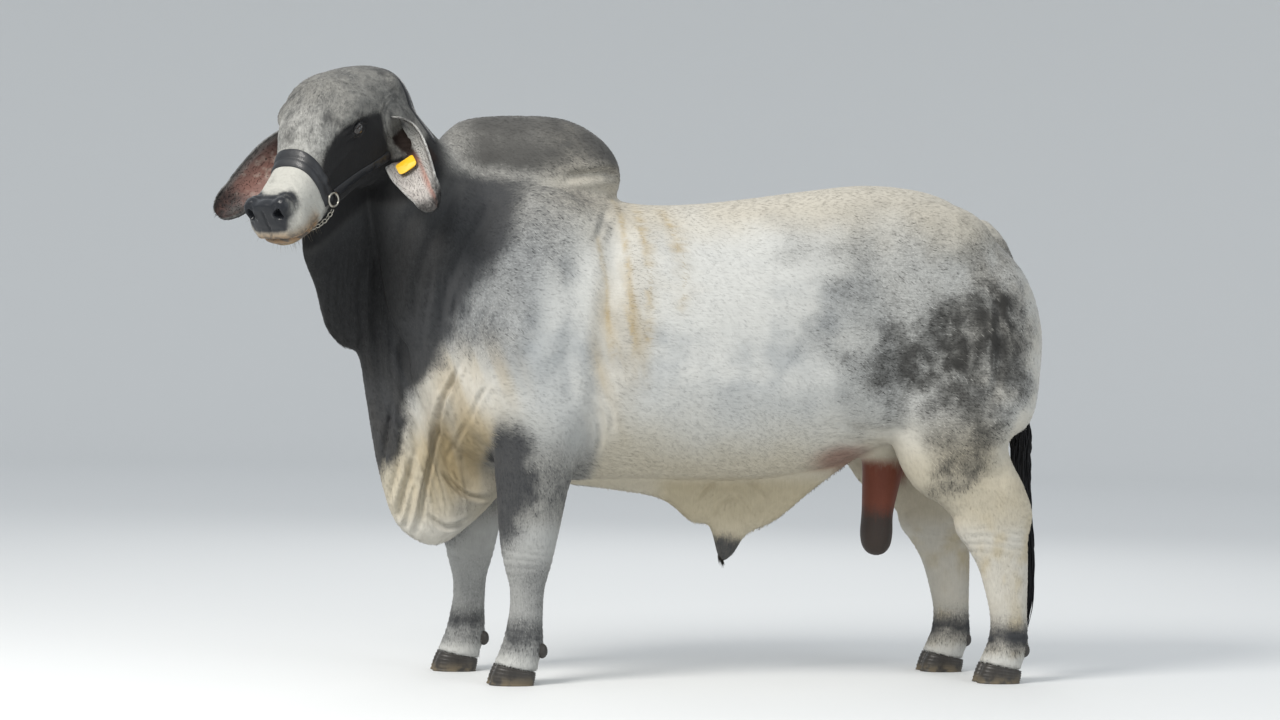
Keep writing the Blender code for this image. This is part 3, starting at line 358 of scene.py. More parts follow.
def neck():
    # Path point, half width across, half depth towards the crest and towards the throat
    base = headPoint(0.05, -0.03, 0)
    rows = ((*base, 0.095, 0.01, 0.115), (-0.785, -0.07, 1.56, 0.125, 0.02, 0.16),
            (-0.705, -0.045, 1.44, 0.165, 0.11, 0.21), (-0.6, -0.015, 1.31, 0.22, 0.27, 0.28),
            (-0.46, 0.0, 1.17, 0.27, 0.34, 0.34), (-0.32, 0.0, 1.1, 0.29, 0.33, 0.34))
    return loft(rows, (-0.55, 0, 0.83), count=26, sideCount=32, power=2.1)


def dewlap():
    # Upper point, lower edge, half thickness, from the chin back to the brisket
    chin = headPoint(0.42, -0.09, 0)
    jaw = headPoint(0.32, -0.08, 0)
    throat = headPoint(0.2, -0.08, 0)
    rows = ((*chin, *headPoint(0.44, -0.16, 0), 0.024), (*jaw, -1.03, -0.24, 1.225, 0.034),
            (*throat, -0.985, -0.16, 1.125, 0.042), (-0.77, -0.04, 1.4, -0.95, -0.085, 1.02, 0.048),
            (-0.73, -0.02, 1.25, -0.905, -0.045, 0.972, 0.052), (-0.7, -0.005, 1.12, -0.85, -0.02, 0.945, 0.058),
            (-0.65, 0.0, 1.0, -0.82, -0.01, 0.8, 0.07), (-0.6, 0.0, 0.9, -0.785, -0.01, 0.62, 0.078),
            (-0.56, 0.0, 0.82, -0.725, -0.01, 0.45, 0.072), (-0.52, 0.0, 0.76, -0.61, -0.005, 0.388, 0.062),
            (-0.46, 0.0, 0.72, -0.5, 0.0, 0.455, 0.05), (-0.4, 0.0, 0.7, -0.4, 0.0, 0.56, 0.04))
    return curtain(rows, count=56)


def sheath():
    # The pendulous fold under the belly, with the orifice at its lowest point
    rows = ((-0.28, 0.7, -0.28, 0.58, 0.03), (-0.1, 0.7, -0.1, 0.562, 0.04), (0.07, 0.7, 0.07, 0.534, 0.045),
            (0.16, 0.69, 0.165, 0.466, 0.044), (0.215, 0.68, 0.225, 0.45, 0.04), (0.262, 0.66, 0.258, 0.35, 0.034),
            (0.31, 0.67, 0.298, 0.366, 0.036), (0.35, 0.69, 0.34, 0.428, 0.04), (0.43, 0.7, 0.43, 0.472, 0.042),
            (0.55, 0.72, 0.55, 0.57, 0.036), (0.69, 0.74, 0.69, 0.668, 0.028))
    return curtain([(x, 0, top, lowX, 0, low, half) for x, top, lowX, low, half in rows], count=44)


def scrotum():
    # z, x, half length, half width
    rows = ((0.74, 0.772, 0.08, 0.078), (0.66, 0.767, 0.07, 0.068), (0.58, 0.758, 0.058, 0.06),
            (0.5, 0.75, 0.049, 0.056), (0.44, 0.748, 0.051, 0.058), (0.4, 0.748, 0.045, 0.05),
            (0.376, 0.748, 0.028, 0.032), (0.368, 0.748, 0.008, 0.01))
    return loft([(x, 0, z, w, h, h) for z, x, h, w in rows], (-1, 0, 0), count=22, sideCount=24)


def leg(x, y, rows):
    # Rows: height, shift back, half length, half width, shift outwards
    side = math.copysign(1, y)
    stations = [(x + back, y + side * out, z, w, h, h) for z, back, h, w, out in rows]
    return loft(stations, (-1, 0, 0), count=44, sideCount=24, power=2.15)


forelegRows = ((1.05, 0.0, 0.16, 0.1, -0.01), (0.95, 0.0, 0.17, 0.105, -0.005), (0.82, 0.01, 0.16, 0.108, 0.0),
               (0.71, 0.022, 0.136, 0.1, 0.0), (0.623, 0.012, 0.119, 0.09, 0.0), (0.565, 0.008, 0.106, 0.082, 0.0),
               (0.477, 0.003, 0.094, 0.072, 0.0), (0.407, 0.0, 0.083, 0.069, 0.0), (0.361, 0.0, 0.074, 0.064, 0.0),
               (0.317, 0.0, 0.062, 0.054, 0.0), (0.279, 0.0, 0.052, 0.046, 0.0), (0.218, -0.001, 0.05, 0.043, 0.0),
               (0.172, -0.004, 0.054, 0.047, 0.0), (0.122, -0.008, 0.06, 0.056, 0.0),
               (0.085, -0.018, 0.06, 0.059, 0.0), (0.05, -0.03, 0.062, 0.061, 0.0), (0.01, -0.042, 0.062, 0.061, 0.0))

hindlegRows = ((1.05, -0.14, 0.22, 0.11, 0.0), (0.94, -0.155, 0.24, 0.125, 0.0), (0.852, -0.167, 0.24, 0.12, 0.0),
               (0.761, -0.178, 0.215, 0.105, 0.0), (0.683, -0.165, 0.18, 0.09, 0.0),
               (0.613, -0.117, 0.133, 0.076, 0.0), (0.55, -0.074, 0.122, 0.066, 0.0),
               (0.48, -0.051, 0.124, 0.06, 0.0), (0.42, -0.036, 0.097, 0.054, 0.0),
               (0.369, -0.023, 0.082, 0.048, 0.0), (0.305, -0.012, 0.071, 0.043, 0.0), (0.2, 0.0, 0.058, 0.042, 0.0),
               (0.118, 0.0, 0.062, 0.056, 0.0), (0.085, -0.012, 0.06, 0.058, 0.0), (0.05, -0.026, 0.06, 0.06, 0.0),
               (0.01, -0.038, 0.06, 0.06, 0.0))


def limbBlocks():
    shapes = []
    for side, way in sides.items():
        shapes.append(leg(body["forelegX"][side], way * body["forelegY"], forelegRows))
        shapes.append(leg(body["hindlegX"][side], way * body["hindlegY"], hindlegRows))
        lag = body["forelegX"][side] - body["forelegX"]["left"]
        shapes.append(ball((-0.34 + lag / 2, way * 0.21, 1.08), (0.23, 0.125, 0.38)))
        shapes.append(ball((-0.39 + lag, way * 0.205, 0.85), (0.19, 0.11, 0.19)))
        step = body["hindlegX"][side] - body["hindlegX"]["left"]
        shapes.append(ball((0.975 + step / 2, way * 0.155, 1.01), (0.24, 0.14, 0.34)))
        shapes.append(ball((0.84 + step / 2, way * 0.17, 1.3), (0.22, 0.12, 0.15)))
        shapes.append(ball((0.86 + step / 2, way * 0.165, 0.83), (0.15, 0.11, 0.17)))
    return shapes


def tail():
    # The dock, from the croup down between the buttocks: x, z, radius
    rows = ((0.96, 1.38, 0.04), (1.04, 1.368, 0.046), (1.105, 1.32, 0.042), (1.158, 1.22, 0.034), (1.19, 1.11, 0.027),
            (1.206, 0.98, 0.023), (1.209, 0.85, 0.02), (1.209, 0.74, 0.018), (1.206, body["tailEnd"] - 0.02, 0.016))
    stations = [(x, 0, z, r, r, r) for x, z, r in rows]
    return loft(stations, (1, 0, 0.4), count=24, sideCount=14)


# The skin: one surface over every node of flesh
skin = {"voxel": 0.0055, "triangles": 192000,
        "under": 0.0012, "relax": 40 * 0.01**2}


def softness(points):
    x, z = points[:, 0], points[:, 2]
    away = ramp(np.abs((points - np.array(head["origin"])) @ headAxes[0] - 0.35), 0.3, 0.45)
    soft = ramp(z, 0.55, 0.8) * np.maximum(away, ramp(x, -0.75, -0.6))
    soft *= 1 - ramp(x - 1.15 + 0.1 * ramp(z, 1.05, 1.3), 0.0, 0.02) * (np.abs(points[:, 1]) < 0.06)
    return 0.06 + 0.94 * soft


def relaxed(mesh, rounds, weight):
    points = pointsOf(mesh)
    weight = 0.5 * weight[:, None]
    ends = np.empty(len(mesh.edges) * 2, np.int32)
    mesh.edges.foreach_get("vertices", ends)
    a, b = ends.reshape(-1, 2).T
    degree = np.bincount(ends, minlength=len(points))[:, None]
    for _ in range(rounds):
        total = np.stack([np.bincount(a, points[b, k], len(points)) + np.bincount(b, points[a, k], len(points))
                          for k in range(3)], axis=1)
        points += weight * (total / degree - points)
    setPoints(mesh, points)
    return mesh


def refined(mesh, chosen):
    # Edges cut in two wherever both their ends are chosen
    bm = opened(mesh)
    bm.verts.ensure_lookup_table()
    edges = [edge for edge in bm.edges if chosen[edge.verts[0].index] and chosen[edge.verts[1].index]]
    bmesh.ops.subdivide_edges(bm, edges=edges, cuts=1, use_grid_fill=True, smooth=0.0)
    bmesh.ops.triangulate(bm, faces=[face for face in bm.faces if len(face.verts) > 4])
    return meshFrom(bm, outwards=False)


def nearEyes(points, reach):
    return np.min([np.linalg.norm(points - np.array(eyeCentre(side)), axis=1) for side in sides], axis=0) < reach


def nearHead(points, low, high):
    c = headCoords(points)
    return np.all((c > np.array(low)) & (c < np.array(high)), axis=1)


# Folds on both flanks: depth inwards, width, and the line that they follow as x and z
folds = ((0.016, 0.022, ((-0.7, 1.42), (-0.79, 1.2), (-0.795, 0.95), (-0.775, 0.76))),
         (0.016, 0.022, ((-0.6, 1.44), (-0.7, 1.2), (-0.722, 0.98), (-0.712, 0.8))),
         (0.014, 0.02, ((-0.5, 1.38), (-0.62, 1.15), (-0.632, 0.95), (-0.62, 0.86))),
         (0.018, 0.045, ((-0.13, 1.3), (-0.17, 1.08), (-0.19, 0.86), (-0.21, 0.72))),
         (0.012, 0.05, ((0.64, 1.28), (0.7, 1.08), (0.74, 0.88))),
         (0.012, 0.03, ((0.76, 0.76), (0.85, 0.7), (0.96, 0.64), (1.06, 0.62))),
         (0.014, 0.05, ((-0.6, 0.72), (-0.57, 0.64), (-0.52, 0.58))),
         (-0.01, 0.04, ((-0.5, 1.28), (-0.42, 1.08), (-0.47, 0.88))),
         (-0.01, 0.06, ((0.06, 0.9), (0.3, 0.86), (0.5, 0.9))))
# Finer creases, which fade at both ends
creases = ((0.006, 0.01, ((-0.83, 1.3), (-0.85, 1.1), (-0.835, 0.9), (-0.8, 0.7), (-0.76, 0.56))),
           (0.006, 0.01, ((-0.745, 1.3), (-0.76, 1.1), (-0.755, 0.9), (-0.72, 0.7), (-0.665, 0.52))),
           (0.005, 0.009, ((-0.655, 1.3), (-0.685, 1.1), (-0.68, 0.92), (-0.65, 0.76), (-0.6, 0.56))),
           (0.005, 0.009, ((-0.56, 1.23), (-0.61, 1.05), (-0.6, 0.86), (-0.56, 0.7))),
           (0.004, 0.009, ((-0.46, 1.18), (-0.54, 1.01), (-0.55, 0.83), (-0.52, 0.69))),
           (0.015, 0.0075, ((-0.57, 0.96), (-0.612, 0.857), (-0.628, 0.776), (-0.634, 0.673), (-0.652, 0.555),
                            (-0.682, 0.37))), (0.013, 0.0085,
        ((-0.68, 0.7), (-0.694, 0.61), (-0.712, 0.54), (-0.726, 0.48), (-0.734, 0.41))),
           (0.008, 0.008, ((-0.676, 0.6), (-0.69, 0.52), (-0.704, 0.462), (-0.712, 0.42))),
           (0.013, 0.0085, ((-0.752, 0.86), (-0.77, 0.7), (-0.774, 0.598), (-0.762, 0.48))),
           (0.008, 0.0075, ((-0.716, 0.8), (-0.724, 0.7), (-0.732, 0.613), (-0.748, 0.54), (-0.758, 0.46))),
           (0.007, 0.007, ((-0.5, 0.88), (-0.528, 0.83), (-0.548, 0.764), (-0.571, 0.698), (-0.588, 0.63))),
           (0.013, 0.0075, ((-0.606, 0.62), (-0.571, 0.574), (-0.541, 0.548), (-0.504, 0.533), (-0.43, 0.525))),
           (0.01, 0.0075, ((-0.646, 0.49), (-0.62, 0.462), (-0.591, 0.446), (-0.554, 0.448), (-0.5, 0.468))),
           (-0.01, 0.017, ((-0.63, 0.86), (-0.655, 0.7), (-0.672, 0.58), (-0.7, 0.42))),
           (0.012, 0.014, ((-0.08, 1.49), (-0.13, 1.5), (-0.2, 1.492), (-0.28, 1.48))),
           (0.005, 0.01, ((-0.1, 1.44), (-0.15, 1.38), (-0.2, 1.28))),
           (0.005, 0.01, ((-0.25, 0.8), (-0.215, 0.76), (-0.2, 0.7), (-0.215, 0.64))),
           (0.005, 0.009, ((-0.225, 0.84), (-0.18, 0.78), (-0.165, 0.71), (-0.18, 0.65))),
           (0.004, 0.009, ((-0.185, 0.86), (-0.145, 0.8), (-0.13, 0.73))),
           (0.006, 0.012, ((0.5, 0.79), (0.6, 0.76), (0.7, 0.745), (0.79, 0.76))),
           (0.005, 0.011, ((0.56, 0.73), (0.65, 0.715), (0.74, 0.71))),
           (0.004, 0.016, ((1.0, 1.25), (1.03, 1.1), (1.03, 0.94), (0.99, 0.8))),
           (-0.005, 0.03, ((-0.33, 1.38), (-0.3, 1.2), (-0.33, 1.0), (-0.4, 0.88))),
           (0.005, 0.022, ((-0.3, 1.0), (-0.27, 0.9), (-0.26, 0.8))),
           (-0.004, 0.022, ((0.86, 1.33), (0.98, 1.25), (1.06, 1.13))),
           (0.006, 0.01, ((0.15, 0.5), (0.19, 0.56), (0.24, 0.6), (0.31, 0.61), (0.37, 0.58), (0.42, 0.54))),
           (0.004, 0.008, ((0.215, 0.47), (0.24, 0.52), (0.29, 0.545), (0.33, 0.52), (0.35, 0.47))))
# Short wrinkles across the legs: height, how far up and down they repeat, spacing and depth
legWrinkles = {"fore": ((0.36, 0.05, 0.023, 0.0016), (0.14, 0.04, 0.017, 0.0016)),
               "hind": ((0.43, 0.05, 0.026, 0.0019), (0.155, 0.045, 0.018, 0.0016))}


def tailHalf(z):
    # Half the dock's width at a height; how far back its middle lies there is tailLine's
    return np.interp(z, (0.7, 0.98, 1.11, 1.22, 1.32), (0.022, 0.027, 0.031, 0.038, 0.046))


def tailLine(z):
    return np.interp(z, (0.62, 0.98, 1.11, 1.22, 1.32, 1.368), (1.206, 1.206, 1.19, 1.158, 1.105, 1.04))


def withFolds(points, normals):
    # Every fold and crease of the body pressed in along the skin's normals
    sideOn = ramp(np.abs(normals[:, 1]), 0.25, 0.75)
    flat = points[:, [0, 2]]
    wander = 0.012 * (noise(points, 9, 3) - 0.5)[:, None] * np.array([1.0, 0.3])
    press = np.zeros(len(points))
    for depth, width, path in folds:
        press += depth * bump(fromPath(flat, path)[0], width)
    for k, (depth, width, path) in enumerate(creases):
        sway = np.where(points[:, 1] > 0, 0.01 * math.sin(3.1 * k), 0.0)
        lag = np.stack([sway, 0.4 * sway], axis=1)
        distance, along = fromPath(flat + wander + lag, path)
        ends = ramp(along, 0.0, 0.22) * fade(along, 0.78, 1.0)
        press += depth * ends * (bump(distance, width) - 0.35 * bump(distance - 1.9 * width, width))
    press *= sideOn
    # Fine pleats that run down the neck and dewlap
    front = ramp(-points[:, 0], 0.42, 0.62) * fade(points[:, 2], 1.3, 1.5) * ramp(points[:, 2], 0.4, 0.5)
    front *= 1 - ramp(headCoords(points)[:, 0], 0.02, 0.12) * ramp(points[:, 2], 1.2, 1.3)
    fan = (points[:, 0] + 0.35) / (0.3 + 0.3 * ramp(points[:, 2], 0.45, 1.1))
    streak = noise(np.stack([fan, points[:, 2] * 0.16, np.sign(points[:, 1])], axis=1), 26, 5, 2)
    press += front * sideOn * 0.0085 * (1 - np.abs(2 * streak - 1) - 0.55)
    # A groove down each side of the dock
    x, y, z = points.T
    groove = bump(np.abs(y) - tailHalf(z) - 0.01, 0.009) * ramp(x, 1.04, 1.09) * ramp(z, 0.8, 0.88)
    press += 0.012 * groove * fade(z, 1.26, 1.33)
    # Short wrinkles across knees, hocks and fetlocks
    for kind, rows in legWrinkles.items():
        for side, way in sides.items():
            at = body[kind + "legX"][side]
            near = ramp(0.16 - np.abs(x - at), 0.0, 0.03) * ramp(y * way, 0.04, 0.07)
            for height, reach, spacing, depth in rows:
                lift = z + 0.012 * np.sin(11 * (x - at)) + 0.022 * (noise(points, 16, 8) - 0.5)
                wave = 0.5 + 0.5 * np.cos(2 * np.pi * (lift - height) / spacing)
                press += near * depth * wave**3 * bump(z - height, reach)
    # A little unevenness all over, as of muscle and loose skin
    press += 0.0022 * (noise(points, 11, 11, 2) - 0.5) * ramp(z, 0.5, 0.7)
    return points - normals * press[:, None]


# The hooves' measures: their middles lie this far ahead of the legs'
hooves = {"ahead": {"fore": 0.045, "hind": 0.038}, "top": 0.052, "tilt": 0.2, "halfLength": 0.064,
          "halfWidth": 0.0295, "apart": 0.0325, "rings": 36, "sides": 64}


def withFeet(points):
    # The legs' ends drawn in, so that they sit inside the hooves
    x, y, z = points.T
    points = points.copy()
    for kind, ahead in hooves["ahead"].items():
        for side, way in sides.items():
            at = body[kind + "legX"][side] - ahead
            middle = np.array([at + 0.01, way * body[kind + "legY"]])
            near = (np.hypot(x - middle[0], y - middle[1]) < 0.12) & (z < 0.12)
            drop = hooves["top"] - hooves["tilt"] * (x - at) + 0.001 - z
            # A soft rim of skin over the hoof's edge, and nothing below it
            swell = 0.035 * bump(drop + 0.01, 0.01)
            pull = swell - 0.26 * ramp(drop, -0.001, 0.004)
            rows = np.where(near)[0]
            points[rows, :2] += (points[rows, :2] - middle) * pull[rows, None]
            points[rows, 2] = np.maximum(points[rows, 2], 0.004)
            # A shallow cleft between the two halves of the foot
            cleft = near & (np.abs(y - middle[1]) < 0.02) & (z < 0.085)
            deep = 0.012 * bump(y[cleft] - middle[1], 0.006) * ramp(0.085 - z[cleft], 0.0, 0.03)
            points[cleft, 0] -= np.sign(x[cleft] - middle[0]) * deep
    return points


# The head's own detail
eye = {"radius": head["eyeRadius"], "lid": 0.0028, "half": 0.0195, "upper": 0.01, "lower": 0.0078, "tilt": 0.2}


def eyeAxes(side):
    out = np.array(-sides[side] * cheekWay)
    along = np.array(faceWay)
    up = np.array(crownWay)
    turn = eye["tilt"]
    out = out * math.cos(turn) + along * math.sin(turn)
    out /= np.linalg.norm(out)
    along = along - out * (along @ out)
    along /= np.linalg.norm(along)
    up = up - out * (up @ out) - along * (up @ along)
    return along, up / np.linalg.norm(up), out


def opening(x):
    # The upper and lower edge of the eye's opening, x along it
    share = np.clip(1 - (x / eye["half"]) ** 2, 0, 1)
    slant = -0.16 * x
    return slant + eye["upper"] * share**0.8, slant - eye["lower"] * share**0.8


def withLids(points):
    points = points.copy()
    for side in sides:
        centre = np.array(eyeCentre(side))
        along, up, out = eyeAxes(side)
        away = points - centre
        x, y, z = away @ along, away @ up, away @ out
        rows = np.where((z > -0.012) & (np.hypot(x, y) < 0.06))[0]
        x, y, z, away = x[rows], y[rows], z[rows], away[rows]
        reach = np.linalg.norm(away, axis=1)
        top, low = opening(x)
        above = y - top
        below = low - y
        outside = np.maximum(above, below)
        outside = np.maximum(outside, np.abs(x) - eye["half"])
        # Inside the opening the skin goes behind the eyeball, and outside it lies on it
        lidReach = eye["radius"] + eye["lid"] * (1 + 0.5 * bump(outside - 0.0025, 0.0025))
        over = np.maximum(reach, lidReach)
        inside = np.minimum(reach, eye["radius"] - 0.004)
        wanted = np.where(outside > 0, over, inside + (over - inside) * ramp(outside, -0.0018, 0.0004))
        moved = centre + away * (wanted / reach)[:, None]
        # The crease over the upper lid, the brow above it, and two soft lines under the eye
        press = 0.003 * bump(above - 0.008, 0.0026) * ramp(y, 0.0, 0.006)
        press -= 0.0035 * bump(above - 0.017, 0.008) * ramp(y, 0.0, 0.008)
        press += 0.002 * bump(below - 0.007, 0.0022) + 0.0016 * bump(below - 0.014, 0.0026)
        press -= 0.0016 * bump(below - 0.0032, 0.0022)
        press += 0.0016 * bump(above - 0.027, 0.0026) + 0.0014 * bump(above - 0.035, 0.0026)
        press *= (outside > 0) * fade(np.hypot(x, y), 0.036, 0.056)
        points[rows] = moved - out * press[:, None]
    return points


def faceLines(points, normals):
    # Grooves and swellings of the face, in the head's own measures
    f, u, l = headCoords(points).T
    n = normals @ headAxes.T
    inFace = ramp(f, -0.02, 0.06)
    side = np.abs(l)
    press = np.zeros(len(points))
    # Wrinkles across the bridge, just above the bare pad of the nose
    for k, (at, depth) in enumerate(((0.478, 0.0014), (0.5, 0.002), (0.521, 0.0024), (0.54, 0.0022))):
        arc = f - at - 0.9 * (side - 0.02) ** 2 * 6 + 0.004 * np.sin(31 * l + k)
        press += depth * bump(arc, 0.0042) * fade(side, 0.045, 0.075) * ramp(n[:, 1], 0.15, 0.5)
    # Soft folds down the side of the muzzle and behind the mouth's corner
    for at, depth in ((0.47, 0.0022), (0.448, 0.0018), (0.5, 0.0018)):
        arc = f - at - 0.35 * (u + 0.05)
        press += depth * bump(arc, 0.005) * ramp(np.abs(n[:, 2]), 0.4, 0.8) * bump(u + 0.07, 0.04)
    # The edge of the nose pad, and the groove down its middle
    press += 0.0022 * bump(f - 0.556 - 0.25 * np.abs(u) + 0.1 * side, 0.004) * ramp(u, -0.045, -0.01)
    press += 0.0036 * bump(l, 0.0036) * ramp(f, 0.575, 0.59) * ramp(u, -0.085, -0.07) * fade(u, -0.004, 0.012)
    # Lips: a groove for the mouth, full on either side of it
    fall = 0.01 * ramp(side, 0.02, 0.075) ** 2
    level = u - head["mouthUp"] + fall
    mouth = ramp(f, 0.445, 0.475)
    press += mouth * (0.008 * bump(level, 0.0032) - 0.003 * bump(level - 0.012, 0.008)
                      - 0.003 * bump(level + 0.011, 0.007))
    press += 0.0025 * bump(level + 0.024, 0.004) * ramp(f, 0.47, 0.5)
    # Brow furrows and the crest of the forehead
    for at, depth in ((0.138, 0.0022), (0.156, 0.0018), (0.172, 0.0014)):
        arc = u - at + 1.6 * (f - 0.235) ** 2 * 6
        press += depth * bump(arc, 0.0052) * ramp(side, 0.045, 0.065) * ramp(0.125 - np.abs(f - 0.225), 0.0, 0.05)
    # The hollow of the temple, the jaw's edge and the line below the cheekbone
    press += 0.006 * bump(f - 0.165, 0.03) * bump(u - 0.03, 0.03) * ramp(side, 0.08, 0.1)
    press += 0.004 * bump(f - 0.345, 0.05) * bump(u + 0.045, 0.02) * ramp(side, 0.055, 0.075)
    cheek = ramp(0.09 - np.abs(f - 0.36), 0.0, 0.04) * ramp(side, 0.05, 0.07)
    press -= 0.003 * bump(u + 0.25 * (f - 0.33), 0.01) * cheek
    press += 0.005 * bump(f - 0.245 + 0.5 * (u + 0.1), 0.012) * bump(u + 0.11, 0.045) * ramp(side, 0.07, 0.09)
    # Slack skin on the cheek and behind the jaw
    for k in range(6):
        arc = f - 0.235 + 0.036 * k + 0.35 * (u + 0.06) + 0.006 * np.sin(40 * u + 2 * k)
        press += 0.0016 * bump(arc, 0.005) * bump(u + 0.09, 0.05) * ramp(side, 0.06, 0.08)
    # Rings round the root of each ear
    ring = np.sqrt((f - 0.1) ** 2 + (u + 0.025) ** 2)
    for at, depth in ((0.052, 0.0026), (0.066, 0.0022), (0.08, 0.0016)):
        press += depth * bump(ring - at, 0.0042) * ramp(side, 0.075, 0.095)
    press += 0.0012 * (noise(points, 60, 21, 2) - 0.5)
    return points - normals * (press * inFace)[:, None]


def withNostrils(points):
    points = points.copy()
    face = np.array(faceWay)
    for side in sides:
        way = -sides[side]
        c = headCoords(points) - np.array([0.0, -0.01, way * 0.047])
        f, u, l = c[:, 0], c[:, 1], c[:, 2] * way
        # A comma: round below, drawn up and outwards above
        bend = l - 0.01 * ramp(u, 0.0, 0.02) + 0.25 * u
        shape = (bend / 0.0105) ** 2 + (u / np.where(u > 0, 0.015, 0.011)) ** 2
        rows = (f > 0.535) & (shape < 9) & (np.abs(c[:, 2]) < 0.05)
        deep = np.exp(-(shape[rows] ** 2.2)) * 0.026
        rim = 0.003 * bump(np.sqrt(shape[rows]) - 1.45, 0.35)
        inward = face * 0.85 + np.array(cheekWay) * way * 0.15
        points[rows] += np.outer(rim - deep, inward)
    return points


def withNosePad(points):
    # The bare pad is broad and almost flat in front
    c = headCoords(points)
    wanted = 0.598 - 1.6 * np.maximum(np.abs(c[:, 2]) - 0.03, 0) ** 1.5 * 6 - 0.35 * np.maximum(c[:, 1] - 0.004, 0)
    near = ramp(c[:, 0], 0.56, 0.585) * ramp(c[:, 1], -0.075, -0.055) * fade(c[:, 1], 0.012, 0.028)
    near *= fade(np.abs(c[:, 2]), 0.05, 0.07)
    gain = np.clip(wanted - c[:, 0], -0.008, 0.006) * near * 0.8
    return points + np.outer(gain * head["scale"], np.array(faceWay))


def skinMesh():
    blocks = headBlocks() + [neck(), dewlap(), trunk(), hump(), sheath(), scrotum(), tail(), *limbBlocks()]
    mesh = applied(joined(blocks), ("REMESH", {"mode": "VOXEL", "voxel_size": skin["voxel"]}))
    rounds = int(skin["relax"] / skin["voxel"] ** 2)
    mesh = relaxed(mesh, rounds, softness(pointsOf(mesh)))
    print("skin base", len(mesh.vertices))
    mesh = refined(mesh, nearHead(pointsOf(mesh), (-0.04, -0.22, -0.2), (0.75, 0.25, 0.2)))
    points = pointsOf(mesh)
    mesh = refined(mesh, nearHead(points, (0.525, -0.14, -0.1), (0.7, 0.06, 0.1)) | nearEyes(points, 0.055))
    mesh = refined(mesh, nearEyes(pointsOf(mesh), 0.034))
    setPoints(mesh, withFolds(pointsOf(mesh), normalsOf(mesh)))
    setPoints(mesh, withNosePad(pointsOf(mesh)))
    setPoints(mesh, faceLines(pointsOf(mesh), normalsOf(mesh)))
    points = withFeet(withLids(withNostrils(pointsOf(mesh))))
    setPoints(mesh, points)
    setPoints(mesh, points - normalsOf(mesh) * skin["under"])
    print("skin detailed", len(mesh.vertices))
    mesh = applied(mesh, ("TRIANGULATE", {}))
    ratio = min(1.0, skin["triangles"] / len(mesh.polygons))
    mesh = applied(mesh, ("DECIMATE", {"decimate_type": "COLLAPSE", "ratio": ratio}))
    print("skin thinned", len(mesh.polygons))
    return mesh


def addPiece(name, mesh, slot, *nodes, material=None, smooth=True):
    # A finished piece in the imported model's place, standing for the nodes named
    mesh.transform(Matrix.Translation(shift))
    made = placed(name, mesh)
    if material:
        mesh.materials.clear()
        mesh.materials.append(material)
    if smooth:
        mesh.shade_smooth()
    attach(made, "root")
    if nodes:
        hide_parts(*nodes)
    return made


skinBody = skinMesh()


# Markings, the same for the skin and every tuft
tints = {"white": (190, 190, 186), "cream": (188, 181, 166), "tan": (172, 158, 126), "ochre": (156, 134, 88),
         "blueGrey": (136, 141, 145), "grey": (122, 122, 121), "charcoal": (54, 55, 57), "black": (27, 27, 28),
         "hump": (74, 73, 71), "thigh": (48, 47, 45), "terracotta": (108, 58, 42), "scrotumDark": (52, 46, 42),
         "muzzle": (178, 177, 170), "slate": (34, 36, 40), "sheath": (172, 160, 132), "forehead": (136, 135, 130),
         "browDark": (70, 70, 69), "throat": (52, 50, 47)}
# The dark neck's edge and the grey one behind it: height, and how far back
darkEdge = ((0.3, -0.86), (0.46, -0.812), (0.58, -0.781), (0.667, -0.733), (0.764, -0.709), (0.851, -0.685),
            (0.919, -0.617), (1.036, -0.569), (1.153, -0.5), (1.291, -0.403), (1.378, -0.383), (1.44, -0.37),
            (1.504, -0.3), (1.6, -0.2))
greyEdge = ((0.88, -0.565), (0.97, -0.485), (1.03, -0.41), (1.118, -0.35), (1.207, -0.285), (1.295, -0.225),
            (1.405, -0.155), (1.5, -0.11))
# Patches: how far back, height, radius and how dark
thighSpots = ((1.0, 1.12, 0.12, 1.0), (0.86, 1.07, 0.095, 0.95), (0.72, 1.01, 0.09, 0.85), (0.67, 0.93, 0.08, 0.85),
              (0.79, 0.95, 0.095, 0.95), (0.91, 0.98, 0.105, 1.0), (1.03, 1.02, 0.12, 1.0), (1.07, 0.91, 0.09, 0.9),
              (0.91, 0.86, 0.11, 0.9), (0.99, 0.8, 0.1, 0.85), (0.73, 0.84, 0.06, 0.6), (0.93, 0.64, 0.075, 0.85),
              (0.96, 0.71, 0.075, 0.8), (0.88, 0.75, 0.07, 0.6))
cloudSpots = ((0.61, 1.23, 0.15, 0.4), (0.78, 1.28, 0.15, 0.42), (0.69, 1.14, 0.15, 0.42), (0.39, 1.31, 0.07, 0.26),
              (1.0, 1.26, 0.12, 0.52), (0.54, 1.06, 0.12, 0.3), (0.9, 1.2, 0.15, 0.4), (0.62, 1.0, 0.13, 0.4),
              (-0.19, 1.355, 0.055, 0.5), (0.62, 0.86, 0.1, 0.26))
stains = (((-0.054, 1.4), (-0.044, 1.105), (-0.05, 0.93)), ((-0.113, 1.42), (-0.093, 1.123), (-0.084, 0.834)),
          ((-0.19, 1.3), (-0.162, 1.121), (-0.15, 0.9)), ((0.03, 1.39), (0.045, 1.2), (0.04, 1.06)))
patchTop = ((0.1, -0.01), (0.15, 0.038), (0.2, 0.066), (0.262, 0.084), (0.318, 0.078), (0.362, 0.058),
            (0.398, 0.028), (0.43, -0.006))
patchRear = ((-0.125, 0.0), (-0.105, 0.17), (-0.03, 0.158), (0.03, 0.13))
patchFront = ((-0.2, 0.56), (-0.155, 0.51), (-0.08, 0.425), (-0.01, 0.43), (0.07, 0.4))


def linear(colour):
    c = np.asarray(colour, float) / 255
    return np.where(c < 0.04045, c / 12.92, ((c + 0.055) / 1.055) ** 2.4)


